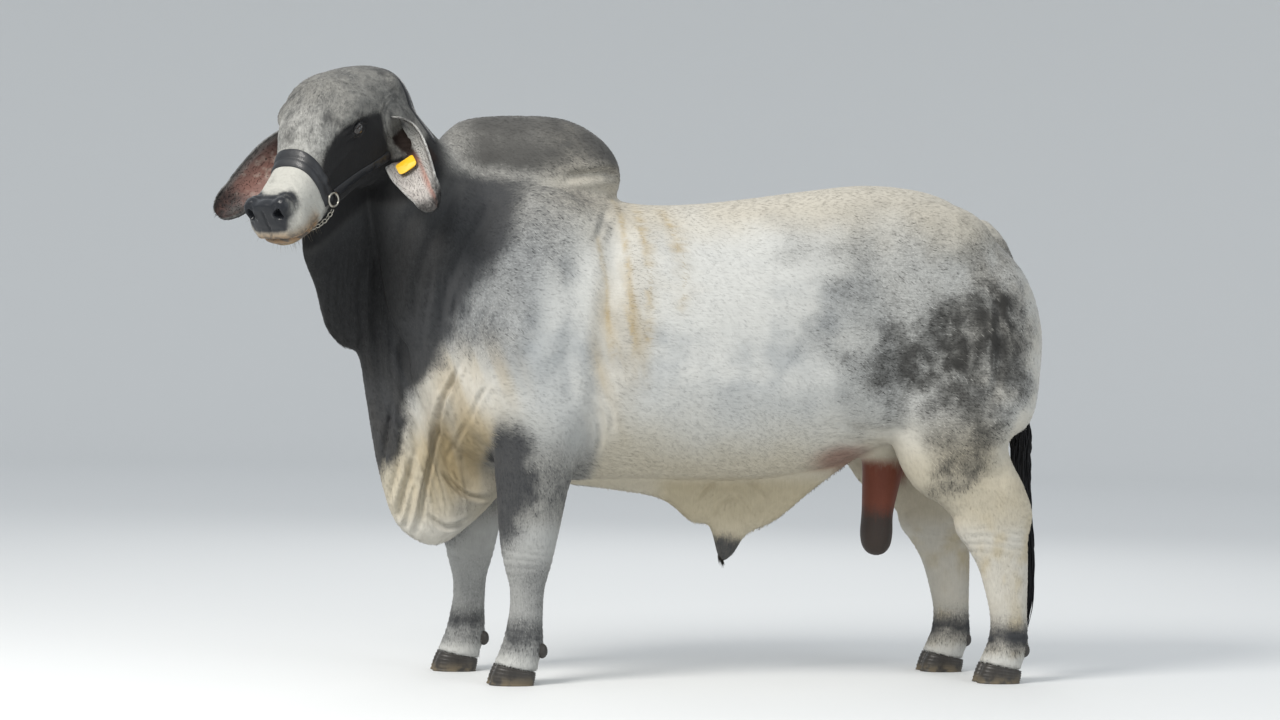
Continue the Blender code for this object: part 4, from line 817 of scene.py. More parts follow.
def tint(colour):
    # A colour by its name or its own numbers
    return linear(tints[colour] if isinstance(colour, str) else colour)


def mixed(a, b, share):
    return a + (b - a) * np.clip(share, 0, 1)[:, None]


def blob(points, x, z, radius, tall=1.0):
    return fade(np.hypot(points[:, 0] - x, (points[:, 2] - z) / tall) / radius, 0.35, 1.55)


def along(values, table):
    table = np.array(table)
    return np.interp(values, table[:, 0], table[:, 1])


def spotted(points, spots):
    found = np.zeros(len(points))
    for at, level, radius, amount in spots:
        found = np.maximum(found, blob(points, at, level, radius) * amount)
    return found


def markings(points, normals):
    # Pale colour, dark colour, how dark, how bare, how wet
    x, y, z = points.T
    f, u, l = headCoords(points).T
    side = np.abs(l)
    flat = points[:, [0, 2]]
    large = noise(points, 5, 1, 3) - 0.5
    small = noise(points, 19, 2, 3) - 0.5
    fine = noise(points, 60, 4, 2) - 0.5
    inHead = ramp(f + 0.02 * large, -0.03, 0.05) * ramp(z, 1.14, 1.22) * ramp(-x, 0.6, 0.66) * ramp(u, -0.23, -0.19)
    under = ramp(-normals[:, 2], 0.2, 0.8)

    def wash(colour, share):
        nonlocal pale
        pale = mixed(pale, tint(colour), share)

    def deepen(colour, share):
        nonlocal dark
        dark = mixed(dark, tint(colour), share)

    def cover(share):
        nonlocal amount
        amount = np.maximum(amount, share)

    pale = np.tile(tint("white"), (len(points), 1))
    wash("cream", ramp(z + 0.25 * large, 1.22, 1.42) * 0.8)
    wash("cream", ramp(x, 0.75, 1.1) * 0.5 * ramp(small, -0.3, 0.3))
    wash("tan", fade(z + 0.14 * large, 0.62, 0.86) * ramp(z, 0.42, 0.5) * 0.58)
    # A darker ochre-brown in the hollow between the brisket and the foreleg: the hair's own ochre there, deepened
    # with painted shade of the hollow
    hollowShade = blob(points, -0.55, 0.66, 0.11, 1.1) * 0.6
    wash((128, 110, 74), hollowShade)
    mottle = ramp(large + 0.4 * small, -0.12, 0.28) * ramp(z, 0.7, 0.95) * fade(z, 1.25, 1.42)
    wash("blueGrey", mottle * 0.6 * fade(x, 0.45, 0.8))
    wash("blueGrey", ramp(-x, 0.22, 0.4) * ramp(z, 0.9, 1.05) * 0.5)
    # Stain lines that run down behind the shoulder, and washed ones low on it and on the brisket
    wander = 0.03 * (noise(points, 6, 51, 2) - 0.5)[:, None] * np.array([1.0, 0.0])
    for path in stains:
        distance, share = fromPath(flat + wander, path)
        line = 0.8 * bump(distance, 0.0065) + 0.3 * bump(distance, 0.03)
        wash("ochre", line * fade(share, 0.7, 1.0) * 0.62 * (0.75 + small))
    streak = noise(np.stack([x + 0.35 * z, y * 0.15, z * 0.1], axis=1), 34, 6, 2)
    washed = blob(points, -0.135, 0.96, 0.075, 3.0) * 0.75 + blob(points, -0.55, 0.84, 0.13, 1.2) * 0.65
    washed = washed + blob(points, -0.62, 0.62, 0.12, 1.0) * 0.4
    wash("ochre", washed * (0.25 + 0.55 * ramp(streak, 0.35, 0.72)))
    low = fade(z, 0.4, 0.56)
    wash("cream", low * 0.6)
    wash("tan", low * ramp(small, 0.0, 0.3) * 0.6 * ramp(x, 0.4, 0.6))

    # Neck, down to the edge that runs from the hump to the brisket
    dark = np.tile(tint("charcoal"), (len(points), 1))
    past = along(z, darkEdge) - x + 0.07 * large + 0.05 * small
    soft = 0.03 + 0.055 * ramp(z, 0.85, 1.15)
    amount = ramp(past, -soft, soft) * 0.98
    grey = ramp(along(z, greyEdge) - x + 0.22 * large, -0.09, 0.09) * ramp(z, 0.88, 1.02) * fade(z, 1.42, 1.52)
    cover(grey * (0.6 + 0.8 * large))
    amount *= 1 - ramp(-z, -0.56, -0.47) * ramp(-x, 0.56, 0.62)
    deep = ramp(past, 0.05, 0.26) * fade(z + 0.1 * large, 1.22, 1.46)
    deepen("black", deep)
    deepen("throat", fade(z, 0.7, 1.05) * ramp(-x, 0.6, 0.7) * 0.5 * ramp(streak, 0.3, 0.7))
    # Hump, paler along the lower edge of its rear
    hump = ramp(z + 0.1 * (x + 0.3), 1.43, 1.51) * ramp(x, -0.7, -0.5) * fade(x, 0.02, 0.06)
    deepen("hump", hump)
    deepen("browDark", ramp(z, 1.36, 1.46) * ramp(-x, 0.5, 0.66) * 0.7)
    edge = blob(points, -0.2, 1.47, 0.16, 0.32)
    behind = ramp(x - 0.9 * (z - 1.5), -0.04, 0.06) * fade(z, 1.46, 1.56)
    humpAmount = (0.96 + 0.3 * small) * (1 - 0.6 * edge) * (1 - behind)
    amount = np.maximum(amount * (1 - hump), hump * humpAmount)

    # The thigh's patch, and clouds over the hip and flank
    warp = np.stack([0.1 * large + 0.07 * small + 0.03 * fine, 0 * x, 0.1 * (noise(points, 8, 9, 3) - 0.5)], axis=1)
    patch = spotted(points + warp, thighSpots) * ramp(np.abs(y), 0.08, 0.17)
    patch *= 1 - 0.24 * ramp(noise(points, 15, 61, 3), 0.52, 0.72) - 0.22 * ramp(noise(points, 42, 62, 3), 0.5, 0.7)
    deepen("thigh", ramp(x, 0.3, 0.4) * ramp(z, 0.5, 0.6))
    cover(patch)
    cloud = spotted(points + 1.6 * warp, cloudSpots)
    cover(cloud * (1 + 0.9 * small))

    # Legs: dark forearm in front, grey shins, dark fetlocks and white pasterns
    for side_, way in sides.items():
        at = body["forelegX"][side_]
        near = ramp(0.22 - np.abs(x - at), 0.0, 0.05) * ramp(y * way, 0.02, 0.08) * fade(z, 0.8, 0.9)
        near *= np.maximum(ramp(x - at + 0.118, -0.015, 0.015), fade(z, 0.5, 0.56))
        rear = np.interp(z, (0.33, 0.39, 0.46, 0.54, 0.61, 0.68, 0.76),
                         (-0.085, -0.062, -0.022, 0.02, 0.03, 0.006, -0.03))
        arm = fade(x - at - rear + 0.07 * small + 0.03 * large, -0.045, 0.045)
        arm *= ramp(y * way, 0.085, 0.115)
        arm *= ramp(z + 0.04 * small, 0.33, 0.42) * fade(z + 0.06 * large + 0.03 * small, 0.7, 0.79)
        knee = bump(np.hypot(x - at - 0.03, 1.1 * (z - 0.405)), 0.06) * ramp(z, 0.3, 0.36)
        rest = 0.5 * (1 + 1.2 * small) * ramp(z, 0.43, 0.52) * fade(z + 0.2 * large, 0.62, 0.78)
        shin = 0.42 * (1 + 1.4 * large) * fade(z, 0.32, 0.4) * (0.5 + 0.5 * ramp(x - at, -0.04, 0.03))
        fetlock = bump(z + 0.03 * small - 0.15, 0.055) * (0.8 + small)
        cover(near * np.maximum(np.maximum(arm * 0.96, rest), np.maximum(fetlock, shin)) * (1 - 0.8 * knee))
        wash("blueGrey", near * fade(z, 0.7, 0.85) * 0.6)
        at = body["hindlegX"][side_]
        near = ramp(0.3 - np.abs(x - at), 0.0, 0.05) * ramp(y * way, 0.0, 0.05) * fade(z, 0.5, 0.6)
        fetlock = bump(z + 0.03 * small - 0.14, 0.048) * (1.0 + 0.7 * small)
        cover(near * fetlock)
    foot = fade(z + 0.02 * small, 0.07, 0.105)
    wash("white", foot * 0.8)
    amount = amount * (1 - 0.8 * foot * ramp(fine + small, -0.35, 0.0))

    # Tail
    inTail = ramp(tailHalf(z) - np.abs(y), -0.004, 0.006) * ramp(x - tailLine(z) + 0.004, -0.006, 0.01)
    inTail *= fade(z, 1.33, 1.37)
    cover(inTail * (0.62 + 0.36 * fade(z, 0.7, 1.1)))
    deepen("black", inTail * fade(z, 0.66, 0.95))

    # Scrotum, the fold before it, and the sheath with its dark end
    bag = ramp(x, 0.655, 0.675) * fade(x, 0.86, 0.88) * ramp(0.11 - np.abs(y), 0, 0.02) * fade(z, 0.64, 0.68)
    flush = blob(points, 0.6, 0.665, 0.1, 0.45) * under * 0.7
    wash("terracotta", np.maximum(bag, flush))
    deepen("scrotumDark", bag)
    amount = amount * (1 - bag) + bag * fade(z + 0.03 * small + 0.2 * (x - 0.75), 0.475, 0.535) * 0.97
    purse = ramp(0.12 - np.abs(y), 0, 0.02) * ramp(x, 0.02, 0.1) * fade(x, 0.6, 0.68) * fade(z, 0.57, 0.62)
    wash("sheath", purse * 0.7)
    tip = purse * fade(z + 0.25 * np.abs(x - 0.26), 0.41, 0.45)
    amount = np.maximum(amount * (1 - purse * 0.8), tip * 0.95)

    # Head: grey mottled brow, pale bridge, dark round the eyes and under the jaw, white muzzle
    wash("forehead", inHead)
    wash("white", inHead * ramp(u + 0.05 * large, 0.09, 0.17) * ramp(fine + small, -0.3, 0.4) * 0.5)
    wash("white", inHead * ramp(f + 0.03 * large, 0.26, 0.36) * ramp(u, 0.02, 0.06) * 0.55)
    browed = 0.62 + 0.8 * small + 0.8 * fine + 0.5 * (noise(points, 210, 71, 2) - 0.5)
    browed = browed - 0.09 * ramp(f, 0.26, 0.34) + 0.1 * fade(f, 0.02, 0.1)
    deepen("browDark", inHead)
    patch = ramp(along(f, patchTop) - u + 0.012 * small + 0.03 * large, -0.014, 0.016)
    inFront = ramp(along(u, patchFront) - f + 0.02 * small, -0.014, 0.018)
    patch *= ramp(f - along(u, patchRear) + 0.02 * small, -0.014, 0.02) * inFront
    patch *= ramp(side, 0.035, 0.062)
    jaw = fade(u + 0.01 * small, -0.118, -0.092) * inFront
    shaded = np.maximum(patch, jaw)
    face = np.clip(np.maximum(browed, shaded), 0, 1)
    snout = ramp(f + 0.02 * small - along(u, patchFront), -0.01, 0.03) * ramp(f, 0.36, 0.42)
    face = face * (1 - snout) + snout * (0.1 + 0.25 * ramp(small, 0.1, 0.3))
    amount = amount * (1 - inHead) + face * inHead
    deepen("black", inHead * shaded)
    wash("muzzle", inHead * snout)
    near = ramp(f, 0.5, 0.56) * ramp(0.086 - side, 0.0, 0.03) * ramp(u, -0.09, -0.05) * fade(u, 0.03, 0.06)
    cover(inHead * snout * near * (0.42 + 0.8 * small))
    wide = np.interp(u, (-0.075, -0.055, -0.02, 0.01, 0.028, 0.042, 0.054),
                     (0.036, 0.056, 0.07, 0.074, 0.066, 0.044, 0.015))
    fore = ramp(f + 0.028 * bump(side - 0.058, 0.026), 0.532, 0.554)
    pad = ramp(wide + 0.006 - side + 0.01 * small + 0.006 * fine, -0.012, 0.01) * fore
    pad *= ramp(u + 0.012 * small, -0.072, -0.056) * fade(u + 0.01 * small, 0.034, 0.05) * inHead
    fall = 0.01 * ramp(side, 0.02, 0.075) ** 2
    lips = inHead * ramp(f, 0.47, 0.5) * bump(u - head["mouthUp"] + fall + 0.004, 0.03)
    chin = inHead * ramp(f, 0.49, 0.53) * fade(u + fall, -0.104, -0.088)
    wash("ochre", np.clip(lips * 0.8 + chin * 0.75 * ramp(fine + small, -0.4, 0.2), 0, 0.9))
    wash((134, 104, 80), lips * 0.75)
    cover(lips * ramp(noise(points, 110, 73, 2), 0.42, 0.58) * 0.85)
    cover(pad)
    deepen("slate", pad)
    # The ear's opening: painted shade, near black, inside it, and white above where the ear folds over
    within = inHead * ramp(side, 0.085, 0.105)
    below = ramp(-u + 0.02 * small, 0.044, 0.056)
    earOpeningShade = within * ramp(f, 0.068, 0.086) * fade(f + 0.02 * small, 0.14, 0.154) * below
    earOpeningShade *= fade(-u, 0.15, 0.18)
    amount = amount * (1 - 0.8 * within * bump(f - 0.09, 0.035) * bump(u + 0.022, 0.018))
    cover(earOpeningShade)
    deepen((34, 24, 20), earOpeningShade)

    bare = np.maximum(np.maximum(bag * 0.8, pad), np.maximum(lips * 0.7, tip * 0.6))
    wet = pad
    for side_ in sides:
        d = np.linalg.norm(points - np.array(eyeCentre(side_)), axis=1)
        ring = fade(d, 0.0255, 0.031)
        cover(ring)
        deepen("black", ring)
        bare = np.maximum(bare, ring * 0.8)
        wet = np.maximum(wet, fade(d, 0.0225, 0.025) * 0.8)
    return pale, dark, np.clip(amount, 0, 1), np.clip(bare, 0, 1), np.clip(wet, 0, 1)


def setColours(mesh, name, values):
    layer = mesh.attributes.new(name, "FLOAT_COLOR", "POINT")
    full = np.ones((len(values), 4), np.float32)
    full[:, : values.shape[1]] = values
    layer.data.foreach_set("color", full.ravel())


def setLooks(mesh, pale, dark, traits):
    for name, values in (("paleTint", pale), ("darkTint", dark), ("traits", traits)):
        setColours(mesh, name, values)


def paint(mesh):
    pale, dark, amount, bare, wet = markings(pointsOf(mesh), normalsOf(mesh))
    setLooks(mesh, pale, dark, np.stack([amount, bare, wet], axis=1))


# Materials
def newMaterial(name):
    material = bpy.data.materials.new(name)
    material.use_nodes = True
    return material, material.node_tree, material.node_tree.nodes["Principled BSDF"]


def plug(tree, node, values):
    # Links and plain values for a node's sockets
    for key, value in values.items():
        if isinstance(value, bpy.types.NodeSocket):
            tree.links.new(value, node.inputs[key])
        else:
            node.inputs[key].default_value = value


def addNode(tree, kind, settings=None, **inputs):
    # Keywords name the sockets, or number them as i0, i1 and so on
    made = tree.nodes.new(kind)
    for key, value in (settings or {}).items():
        setattr(made, key, value)
    plug(tree, made, {int(key[1:]) if key[1:].isdigit() else key.replace("_", " "): inputs[key] for key in inputs})
    return made


def maths(tree, operation, *values):
    return addNode(tree, "ShaderNodeMath", {"operation": operation},
                   **{f"i{k}": v for k, v in enumerate(values)}).outputs[0]


def blended(tree, share, a, b):
    made = addNode(tree, "ShaderNodeMix", {"data_type": "RGBA"}, i0=share, i6=a, i7=b)
    return made.outputs[2]


def between(tree, value, low, high, toLow=0.0, toHigh=1.0):
    made = addNode(tree, "ShaderNodeMapRange", {"interpolation_type": "SMOOTHSTEP"}, i0=value, i1=low,
                   i2=high, i3=toLow, i4=toHigh)
    return made.outputs[0]


def grain(tree, where, scale, detail=3.0, stretch=(1, 1, 1), turn=(0, 0, 0)):
    placed = addNode(tree, "ShaderNodeMapping", Vector=where, Scale=stretch, Rotation=turn).outputs[0]
    return addNode(tree, "ShaderNodeTexNoise", Vector=placed, Scale=scale, Detail=detail).outputs["Fac"]


def heldColour(tree, name):
    return addNode(tree, "ShaderNodeAttribute", {"attribute_name": name}).outputs["Color"]


def objectPlace(tree):
    return tree.nodes.new("ShaderNodeTexCoord").outputs["Object"]


def addRelief(tree, shader, strength, distance, height):
    relief = addNode(tree, "ShaderNodeBump", Strength=strength, Distance=distance, Height=height)
    tree.links.new(relief.outputs[0], shader.inputs["Normal"])


def coatGroup():
    # Salt and pepper hair: where each hair is dark, and the height of its strands
    tree = bpy.data.node_groups.new("coatHairs", "ShaderNodeTree")
    for way, names in (("INPUT", ("Dark", "Bare")), ("OUTPUT", ("Share", "Height", "Shade"))):
        for name in names:
            tree.interface.new_socket(name=name, in_out=way, socket_type="NodeSocketFloat")
    total, less, times = (functools.partial(maths, tree, way) for way in ("ADD", "SUBTRACT", "MULTIPLY"))
    entry = tree.nodes.new("NodeGroupInput")
    leave = tree.nodes.new("NodeGroupOutput")
    where = objectPlace(tree)
    apart = addNode(tree, "ShaderNodeSeparateXYZ", Vector=where)
    lengthwise = grain(tree, where, 1.0, 3.0, (30, 230, 230))
    downwards = grain(tree, where, 1.0, 3.0, (230, 230, 30))
    lowDown = between(tree, apart.outputs[2], 0.85, 0.55)
    inFront = between(tree, apart.outputs[0], -0.4, -0.62)
    strands = addNode(tree, "ShaderNodeMix", i0=maths(tree, "MAXIMUM", lowDown, inFront),
                      i2=lengthwise, i3=downwards).outputs[0]
    specks = grain(tree, where, 170, 4.0)
    clumps = grain(tree, where, 46, 3.0)
    dark = entry.outputs["Dark"]
    spread = times(times(dark, less(1.0, dark)), 4.0)
    wobble = total(less(specks, 0.5), times(less(strands, 0.5), 1.1))
    wobble = total(wobble, times(less(clumps, 0.5), 0.9))
    level = total(dark, times(wobble, times(spread, 0.62)))
    share = maths(tree, "MINIMUM", maths(tree, "MAXIMUM", level, 0.0), 1.0)
    hair = less(1.0, entry.outputs["Bare"])
    leather = addNode(tree, "ShaderNodeTexVoronoi", {"feature": "DISTANCE_TO_EDGE"}, Vector=where,
                      Scale=420.0).outputs["Distance"]
    height = total(times(strands, hair), times(leather, times(entry.outputs["Bare"], 0.45)))
    height = total(height, times(clumps, 0.55))
    # Colour darker where the strands and clumps lie low, matching the relief: painted shade between the strands
    shade = total(0.8, times(total(strands, clumps), 0.2))
    plug(tree, leave, {"Share": share, "Height": height, "Shade": shade})
    return tree


hideSettings = {"roughness": 0.82, "bareRoughness": 0.52, "wetRoughness": 0.22, "bump": 0.4, "distance": 0.0016,
                "specular": 0.25, "sheen": 0.04, "sheenRoughness": 0.5}


def hideMaterial(name, bumped=True):
    material, tree, shader = newMaterial(name)
    pale = heldColour(tree, "paleTint")
    dark = heldColour(tree, "darkTint")
    traits = addNode(tree, "ShaderNodeSeparateColor", i0=heldColour(tree, "traits"))
    hairs = tree.nodes.new("ShaderNodeGroup")
    hairs.node_tree = bpy.data.node_groups.get("coatHairs") or coatGroup()
    plug(tree, hairs, {"Dark": traits.outputs[0], "Bare": traits.outputs[1]})
    colour = blended(tree, hairs.outputs["Share"], pale, dark)
    shaded = addNode(tree, "ShaderNodeVectorMath", {"operation": "SCALE"}, i0=colour,
                     Scale=hairs.outputs["Shade"]).outputs[0]
    rough = between(tree, traits.outputs[1], 0.0, 1.0, hideSettings["roughness"], hideSettings["bareRoughness"])
    rough = addNode(tree, "ShaderNodeMix", i0=traits.outputs[2], i2=rough, i3=hideSettings["wetRoughness"]).outputs[0]
    plug(tree, shader, {"Base Color": shaded, "Roughness": rough, "Specular IOR Level": hideSettings["specular"],
                        "Sheen Weight": hideSettings["sheen"], "Sheen Roughness": hideSettings["sheenRoughness"]})
    if bumped:
        addRelief(tree, shader, hideSettings["bump"], hideSettings["distance"], hairs.outputs["Height"])
    return material


hide = hideMaterial("hide")
paint(skinBody)
flesh = ["head", "neck", "dewlap", "hump", "torso_front", "torso_rear", "foreleg_left", "foreleg_right",
         "hindleg_left", "hindleg_right", "scrotum", "sheath", "tail"]


# Ears
ears = {"widths": ((0.028, 138), (0.038, 124), (0.058, 98), (0.074, 78), (0.082, 66), (0.079, 58), (0.068, 52),
                   (0.05, 46), (0.018, 40)),
        "spans": {"left": ((0.1, -0.03, 0.092), (0.01, -0.07, -0.05), (0.106, -0.24, -0.255), 0.25),
                  "right": ((0.1, -0.03, -0.092), (-0.12, 0.07, -0.07), (-0.338, 0.085, -0.272), -0.15)},
        "half": 0.0026, "rows": 130, "columns": 64}


def earFrame(side, s):
    # A point along the ear's back, its direction, its opening, and the way across
    root, lean, reach, outward = ears["spans"][side]
    start = headPoint(*root)
    elbow = start + Vector(lean)
    tip = start + Vector(reach)
    point = (1 - s) ** 2 * start + 2 * s * (1 - s) * elbow + s * s * tip
    along = (2 * (1 - s) * (elbow - start) + 2 * s * (tip - elbow)).normalized()
    opens = heading - cheekWay * sides[side] * outward - Vector((0, 0, 0.25))
    opens = (opens - opens.dot(along) * along).normalized()
    return point, along, opens, along.cross(opens)


earRows = smoothRows(ears["widths"], 201)


def earPoint(side, s, t, lift=0.0):
    wide, wrap = (float(np.interp(min(s, 0.86), np.linspace(0, 1, 201), earRows[:, k])) for k in (0, 1))
    wide *= math.sqrt(max(1 - (max(s - 0.86, 0.0) / 0.145) ** 2, 0.0))
    wrap = math.radians(wrap)
    point, _, opens, across = earFrame(side, s)
    bend = t * wrap
    radius = wide / math.sin(min(wrap, math.pi / 2))
    rim = math.cos(min(wrap, math.pi / 2))
    back = (radius - lift) * math.cos(bend) - radius * rim
    return point + (radius - lift) * math.sin(bend) * across - back * opens


def rolled(side, s, t):
    # How far the ear's rear rim is folded over, to show its outer fur
    rear = math.copysign(1, earFrame(side, 0.3)[3].x) * t
    return math.exp(-(((rear - 0.8) / 0.22) ** 2)) * math.sin(math.pi * min(max(s, 0.0), 1.0)) ** 0.5


def earMesh(side):
    # Both faces of the shell in one closed grid: t runs over the inner face and back over the outer one
    rows, columns = ears["rows"], ears["columns"]
    turn = np.arange(2 * columns) * np.pi / columns
    points = []
    place = []
    for i in range(rows):
        s = -0.1 + 1.1 * math.sin(math.pi / 2 * i / (rows - 1))
        for a in turn:
            t = math.cos(a)
            face = math.sin(a)
            inner = max(face, 0.0) ** 0.3
            ridges = 0.0016 * sum(math.exp(-(((t - c) / 0.1) ** 2)) for c in (-0.42, -0.1, 0.24, 0.55))
            ripple = 0.0012 * math.sin(34 * s + 3 * t) * (1 - inner) * math.exp(-((s / 0.35) ** 2))
            thick = ears["half"] * (1 + 0.9 * math.exp(-(((abs(t) - 0.97) / 0.05) ** 2)))
            lift = np.sign(face) * thick * abs(face) ** 0.35
            lift += ridges * inner * ramp(np.array([s]), 0.05, 0.25)[0] * (1 - s) + ripple
            lift += 0.006 * rolled(side, s, t)
            points.append(earPoint(side, s, t * (1 - 0.004 * math.sin(29 * s)), float(lift)))
            place.append((s, t, inner))
    count = 2 * columns
    faces = gridFaces(rows, count)
    # The two faces are joined across the tip
    last = (rows - 1) * count
    for k in range(columns):
        a, b = last + k, last + k + 1
        c, d = last + (count - k - 1) % count, last + (count - k) % count
        if len({a, b, c, d}) == 4:
            faces.append((a, b, c, d))
    mesh = meshOf(f"ear_{side}", points, faces)
    return applied(mesh, ("TRIANGULATE", {})), np.array(place)


def paintEar(mesh, place, side):
    points = pointsOf(mesh)
    s, t, inner = place.T
    small = noise(points, 26, 31, 3) - 0.5
    fine = noise(points, 90, 32, 2) - 0.5
    rear = t * math.copysign(1, earFrame(side, 0.3)[3].x)
    if side == "left":
        fold, low = ramp(rear + 0.06 * small - 0.45 * s, -0.26, -0.1), ramp(s, 0.42, 0.62)
    else:
        fold, low = ramp(rear + 0.05 * small, 0.7, 0.84), 0
    frontRim = ramp(-rear + 0.14 * small, 0.66 - 0.8 * low, 0.86 - 0.66 * low) * (0.9 if side == "left" else 0.5)
    rim = np.maximum(np.maximum(fold, frontRim), ramp(np.abs(t) + 0.06 * small, 0.86, 0.97))
    tip = ramp(s + 0.08 * small, *((0.83, 0.95) if side == "left" else (0.78, 0.9)))
    pale = mixed(np.tile(tint("white"), (len(s), 1)), tint("grey"), 0.35 + small)
    flesh = mixed(np.tile(linear((122, 86, 76)), (len(s), 1)), linear((164, 128, 118)), ramp(s, 0.45, 0.8))
    # The right ear's inside is the same skin as the left's, painted darker: painted shade on the far ear
    if side == "right":
        flesh = mixed(np.tile(linear((72, 46, 40)), (len(s), 1)), linear((118, 86, 78)), ramp(s, 0.25, 0.75))
    # The deep of the ear's cup and its root painted near black: painted shade inside the shell
    hollowShade = np.exp(-(((-rear - 0.2) / 0.55) ** 4) - (((s - 0.28) / 0.22) ** 4))
    flesh = mixed(flesh, linear((34, 24, 21)), np.clip(np.maximum(hollowShade * 1.1, 0.9 * ramp(0.3 - s, 0.0, 0.2)), 0, 1))
    flesh = mixed(flesh, linear((178, 166, 156)), 0.5 * ramp(small + fine, 0.05, 0.4))
    pale = pale + (flesh - pale) * (inner * (1 - 0.9 * rim))[:, None]
    dark = mixed(np.tile(tint("charcoal"), (len(s), 1)), tint("black"), tip)
    if side == "left":
        back = 0.38 + 1.2 * small + 0.4 * fade(s, 0.0, 0.25)
        amount = (1 - inner) * back * (1 - 0.6 * ramp(s, 0.3, 0.6))
        edge = tip * 0.9 + fold * (0.12 + 0.5 * ramp(small, 0.0, 0.3)) + rim * ramp(0.16 - s, 0.0, 0.16) * 0.6
    else:
        back = 0.8 + 0.8 * small
        amount = (1 - inner) * back
        edge = rim * (0.8 + 0.5 * small)
    amount = np.maximum(amount, np.maximum(edge, tip * (0.85 + 0.3 * fine)))
    bare = inner * (1 - rim) * 0.75
    setLooks(mesh, pale, dark, np.stack([np.clip(amount, 0, 1), bare, bare * 0.15], axis=1))


earPieces = {}
for side in sides:
    mesh, place = earMesh(side)
    paintEar(mesh, place, side)
    earPieces[side] = mesh
    addPiece(f"ear_{side}_look", mesh, "hide", f"ear_{side}", material=hide)
print("ears made")


# Eyes
eyeLook = {"iris": 0.015, "pupil": (0.0088, 0.0052), "segments": 96, "rings": 64}


def eyeMesh(side):
    along, up, out = eyeAxes(side)
    bm = bmesh.new()
    bmesh.ops.create_uvsphere(bm, u_segments=eyeLook["segments"], v_segments=eyeLook["rings"],
                              radius=head["eyeRadius"])
    mesh = meshFrom(bm)
    points = pointsOf(mesh)
    x, y, z = points.T
    reach = np.hypot(x, y)
    points[:, 2] += 0.0012 * (z > 0) * fade(reach, 0.0, eyeLook["iris"])
    inIris = fade(reach, eyeLook["iris"] - 0.0012, eyeLook["iris"] + 0.0006) * (z > 0)
    inPupil = fade(np.hypot(x / eyeLook["pupil"][0], y / eyeLook["pupil"][1]), 0.85, 1.1)
    turn = np.arctan2(y, x)
    spokes = 0.5 + 0.5 * np.sin(37 * turn + 3 * np.sin(11 * turn))
    white = np.tile(linear((44, 38, 36)), (len(points), 1))
    white = mixed(white, linear((44, 30, 24)), ramp(reach, eyeLook["iris"], eyeLook["iris"] + 0.004) * 0.6)
    iris = mixed(np.tile(linear((26, 18, 13)), (len(points), 1)), linear((44, 31, 22)),
                 spokes * fade(reach, 0.009, 0.0145))
    colour = mixed(mixed(white, iris, inIris), linear((6, 7, 10)), inPupil * (z > 0))
    centre = np.array(eyeCentre(side))
    setPoints(mesh, centre + np.outer(points[:, 0], along) + np.outer(points[:, 1], up) + np.outer(points[:, 2], out))
    if np.linalg.det(np.array([along, up, out])) < 0:
        mesh.flip_normals()
    setColours(mesh, "eyeTint", colour)
    return mesh


def plainMaterial(name, colour, roughness, metallic=0.0, coat=0.0, scale=120, depth=0.2, distance=0.0005, vary=0.25):
    # One colour, worn a little by noise, with a fine relief
    material, tree, shader = newMaterial(name)
    where = objectPlace(tree)
    worn = grain(tree, where, scale / 4, 4.0)
    fine = grain(tree, where, scale * 3, 3.0)
    low = [c * (1 - vary) for c in linear(colour)]
    high = [min(1.0, c * (1 + vary)) for c in linear(colour)]
    rough = between(tree, worn, 0.3, 0.7, roughness * 0.85, min(1.0, roughness * 1.15))
    plug(tree, shader, {"Base Color": blended(tree, worn, (*low, 1), (*high, 1)), "Roughness": rough,
                        "Metallic": metallic, "Coat Weight": coat, "Coat Roughness": 0.08})
    addRelief(tree, shader, depth, distance, fine)
    return material


def eyeMaterial():
    material, tree, shader = newMaterial("eye")
    plug(tree, shader, {"Base Color": heldColour(tree, "eyeTint"), "Roughness": 0.12,
                        "Coat Weight": 1.0, "Coat Roughness": 0.02})
    addRelief(tree, shader, 0.05, 0.0003, grain(tree, objectPlace(tree), 220))
    return material


eyeLooks = eyeMaterial()
for side in sides:
    addPiece(f"eye_{side}_look", eyeMesh(side), "eye", f"eye_{side}", material=eyeLooks)
print("eyes made")


# Hooves and dewclaws
def hoofMesh(x, y, outer):
    # One half of the hoof, with growth rings that follow the coronet's slant
    shape = smoothRows(((0, 0.985, 0.975, 0.001), (0.06, 1.0, 1.0, 0.0), (0.5, 0.97, 0.98, 0.006),
                        (0.9, 0.9, 0.95, 0.012), (0.97, 0.885, 0.925, 0.013), (1.0, 0.8, 0.82, 0.013)),
                       hooves["rings"])
    rings = []
    for share, length, width, back in shape:
        ring = oval((x + back, y, 0), (1, 0, 0), (0, 1, 0), hooves["halfLength"] * length,
                    hooves["halfWidth"] * width, hooves["halfWidth"] * width, 2.3, hooves["sides"])
        toe = np.clip((x - ring[:, 0]) / hooves["halfLength"], 0, 1)
        ring[:, 1] -= outer * 0.01 * toe**2
        wave = 0.0006 * math.sin(2 * math.pi * share * 5.5) * (share < 0.93)
        ring[:, :2] += (ring[:, :2] - [x + back, y]) * (wave / hooves["halfWidth"])
        level = hooves["top"] - hooves["tilt"] * (ring[:, 0] - x)
        ring[:, 2] = np.maximum(np.clip(share, 0, 1) * level, 0.0)
        rings.append(ring)
    return skinned(rings)


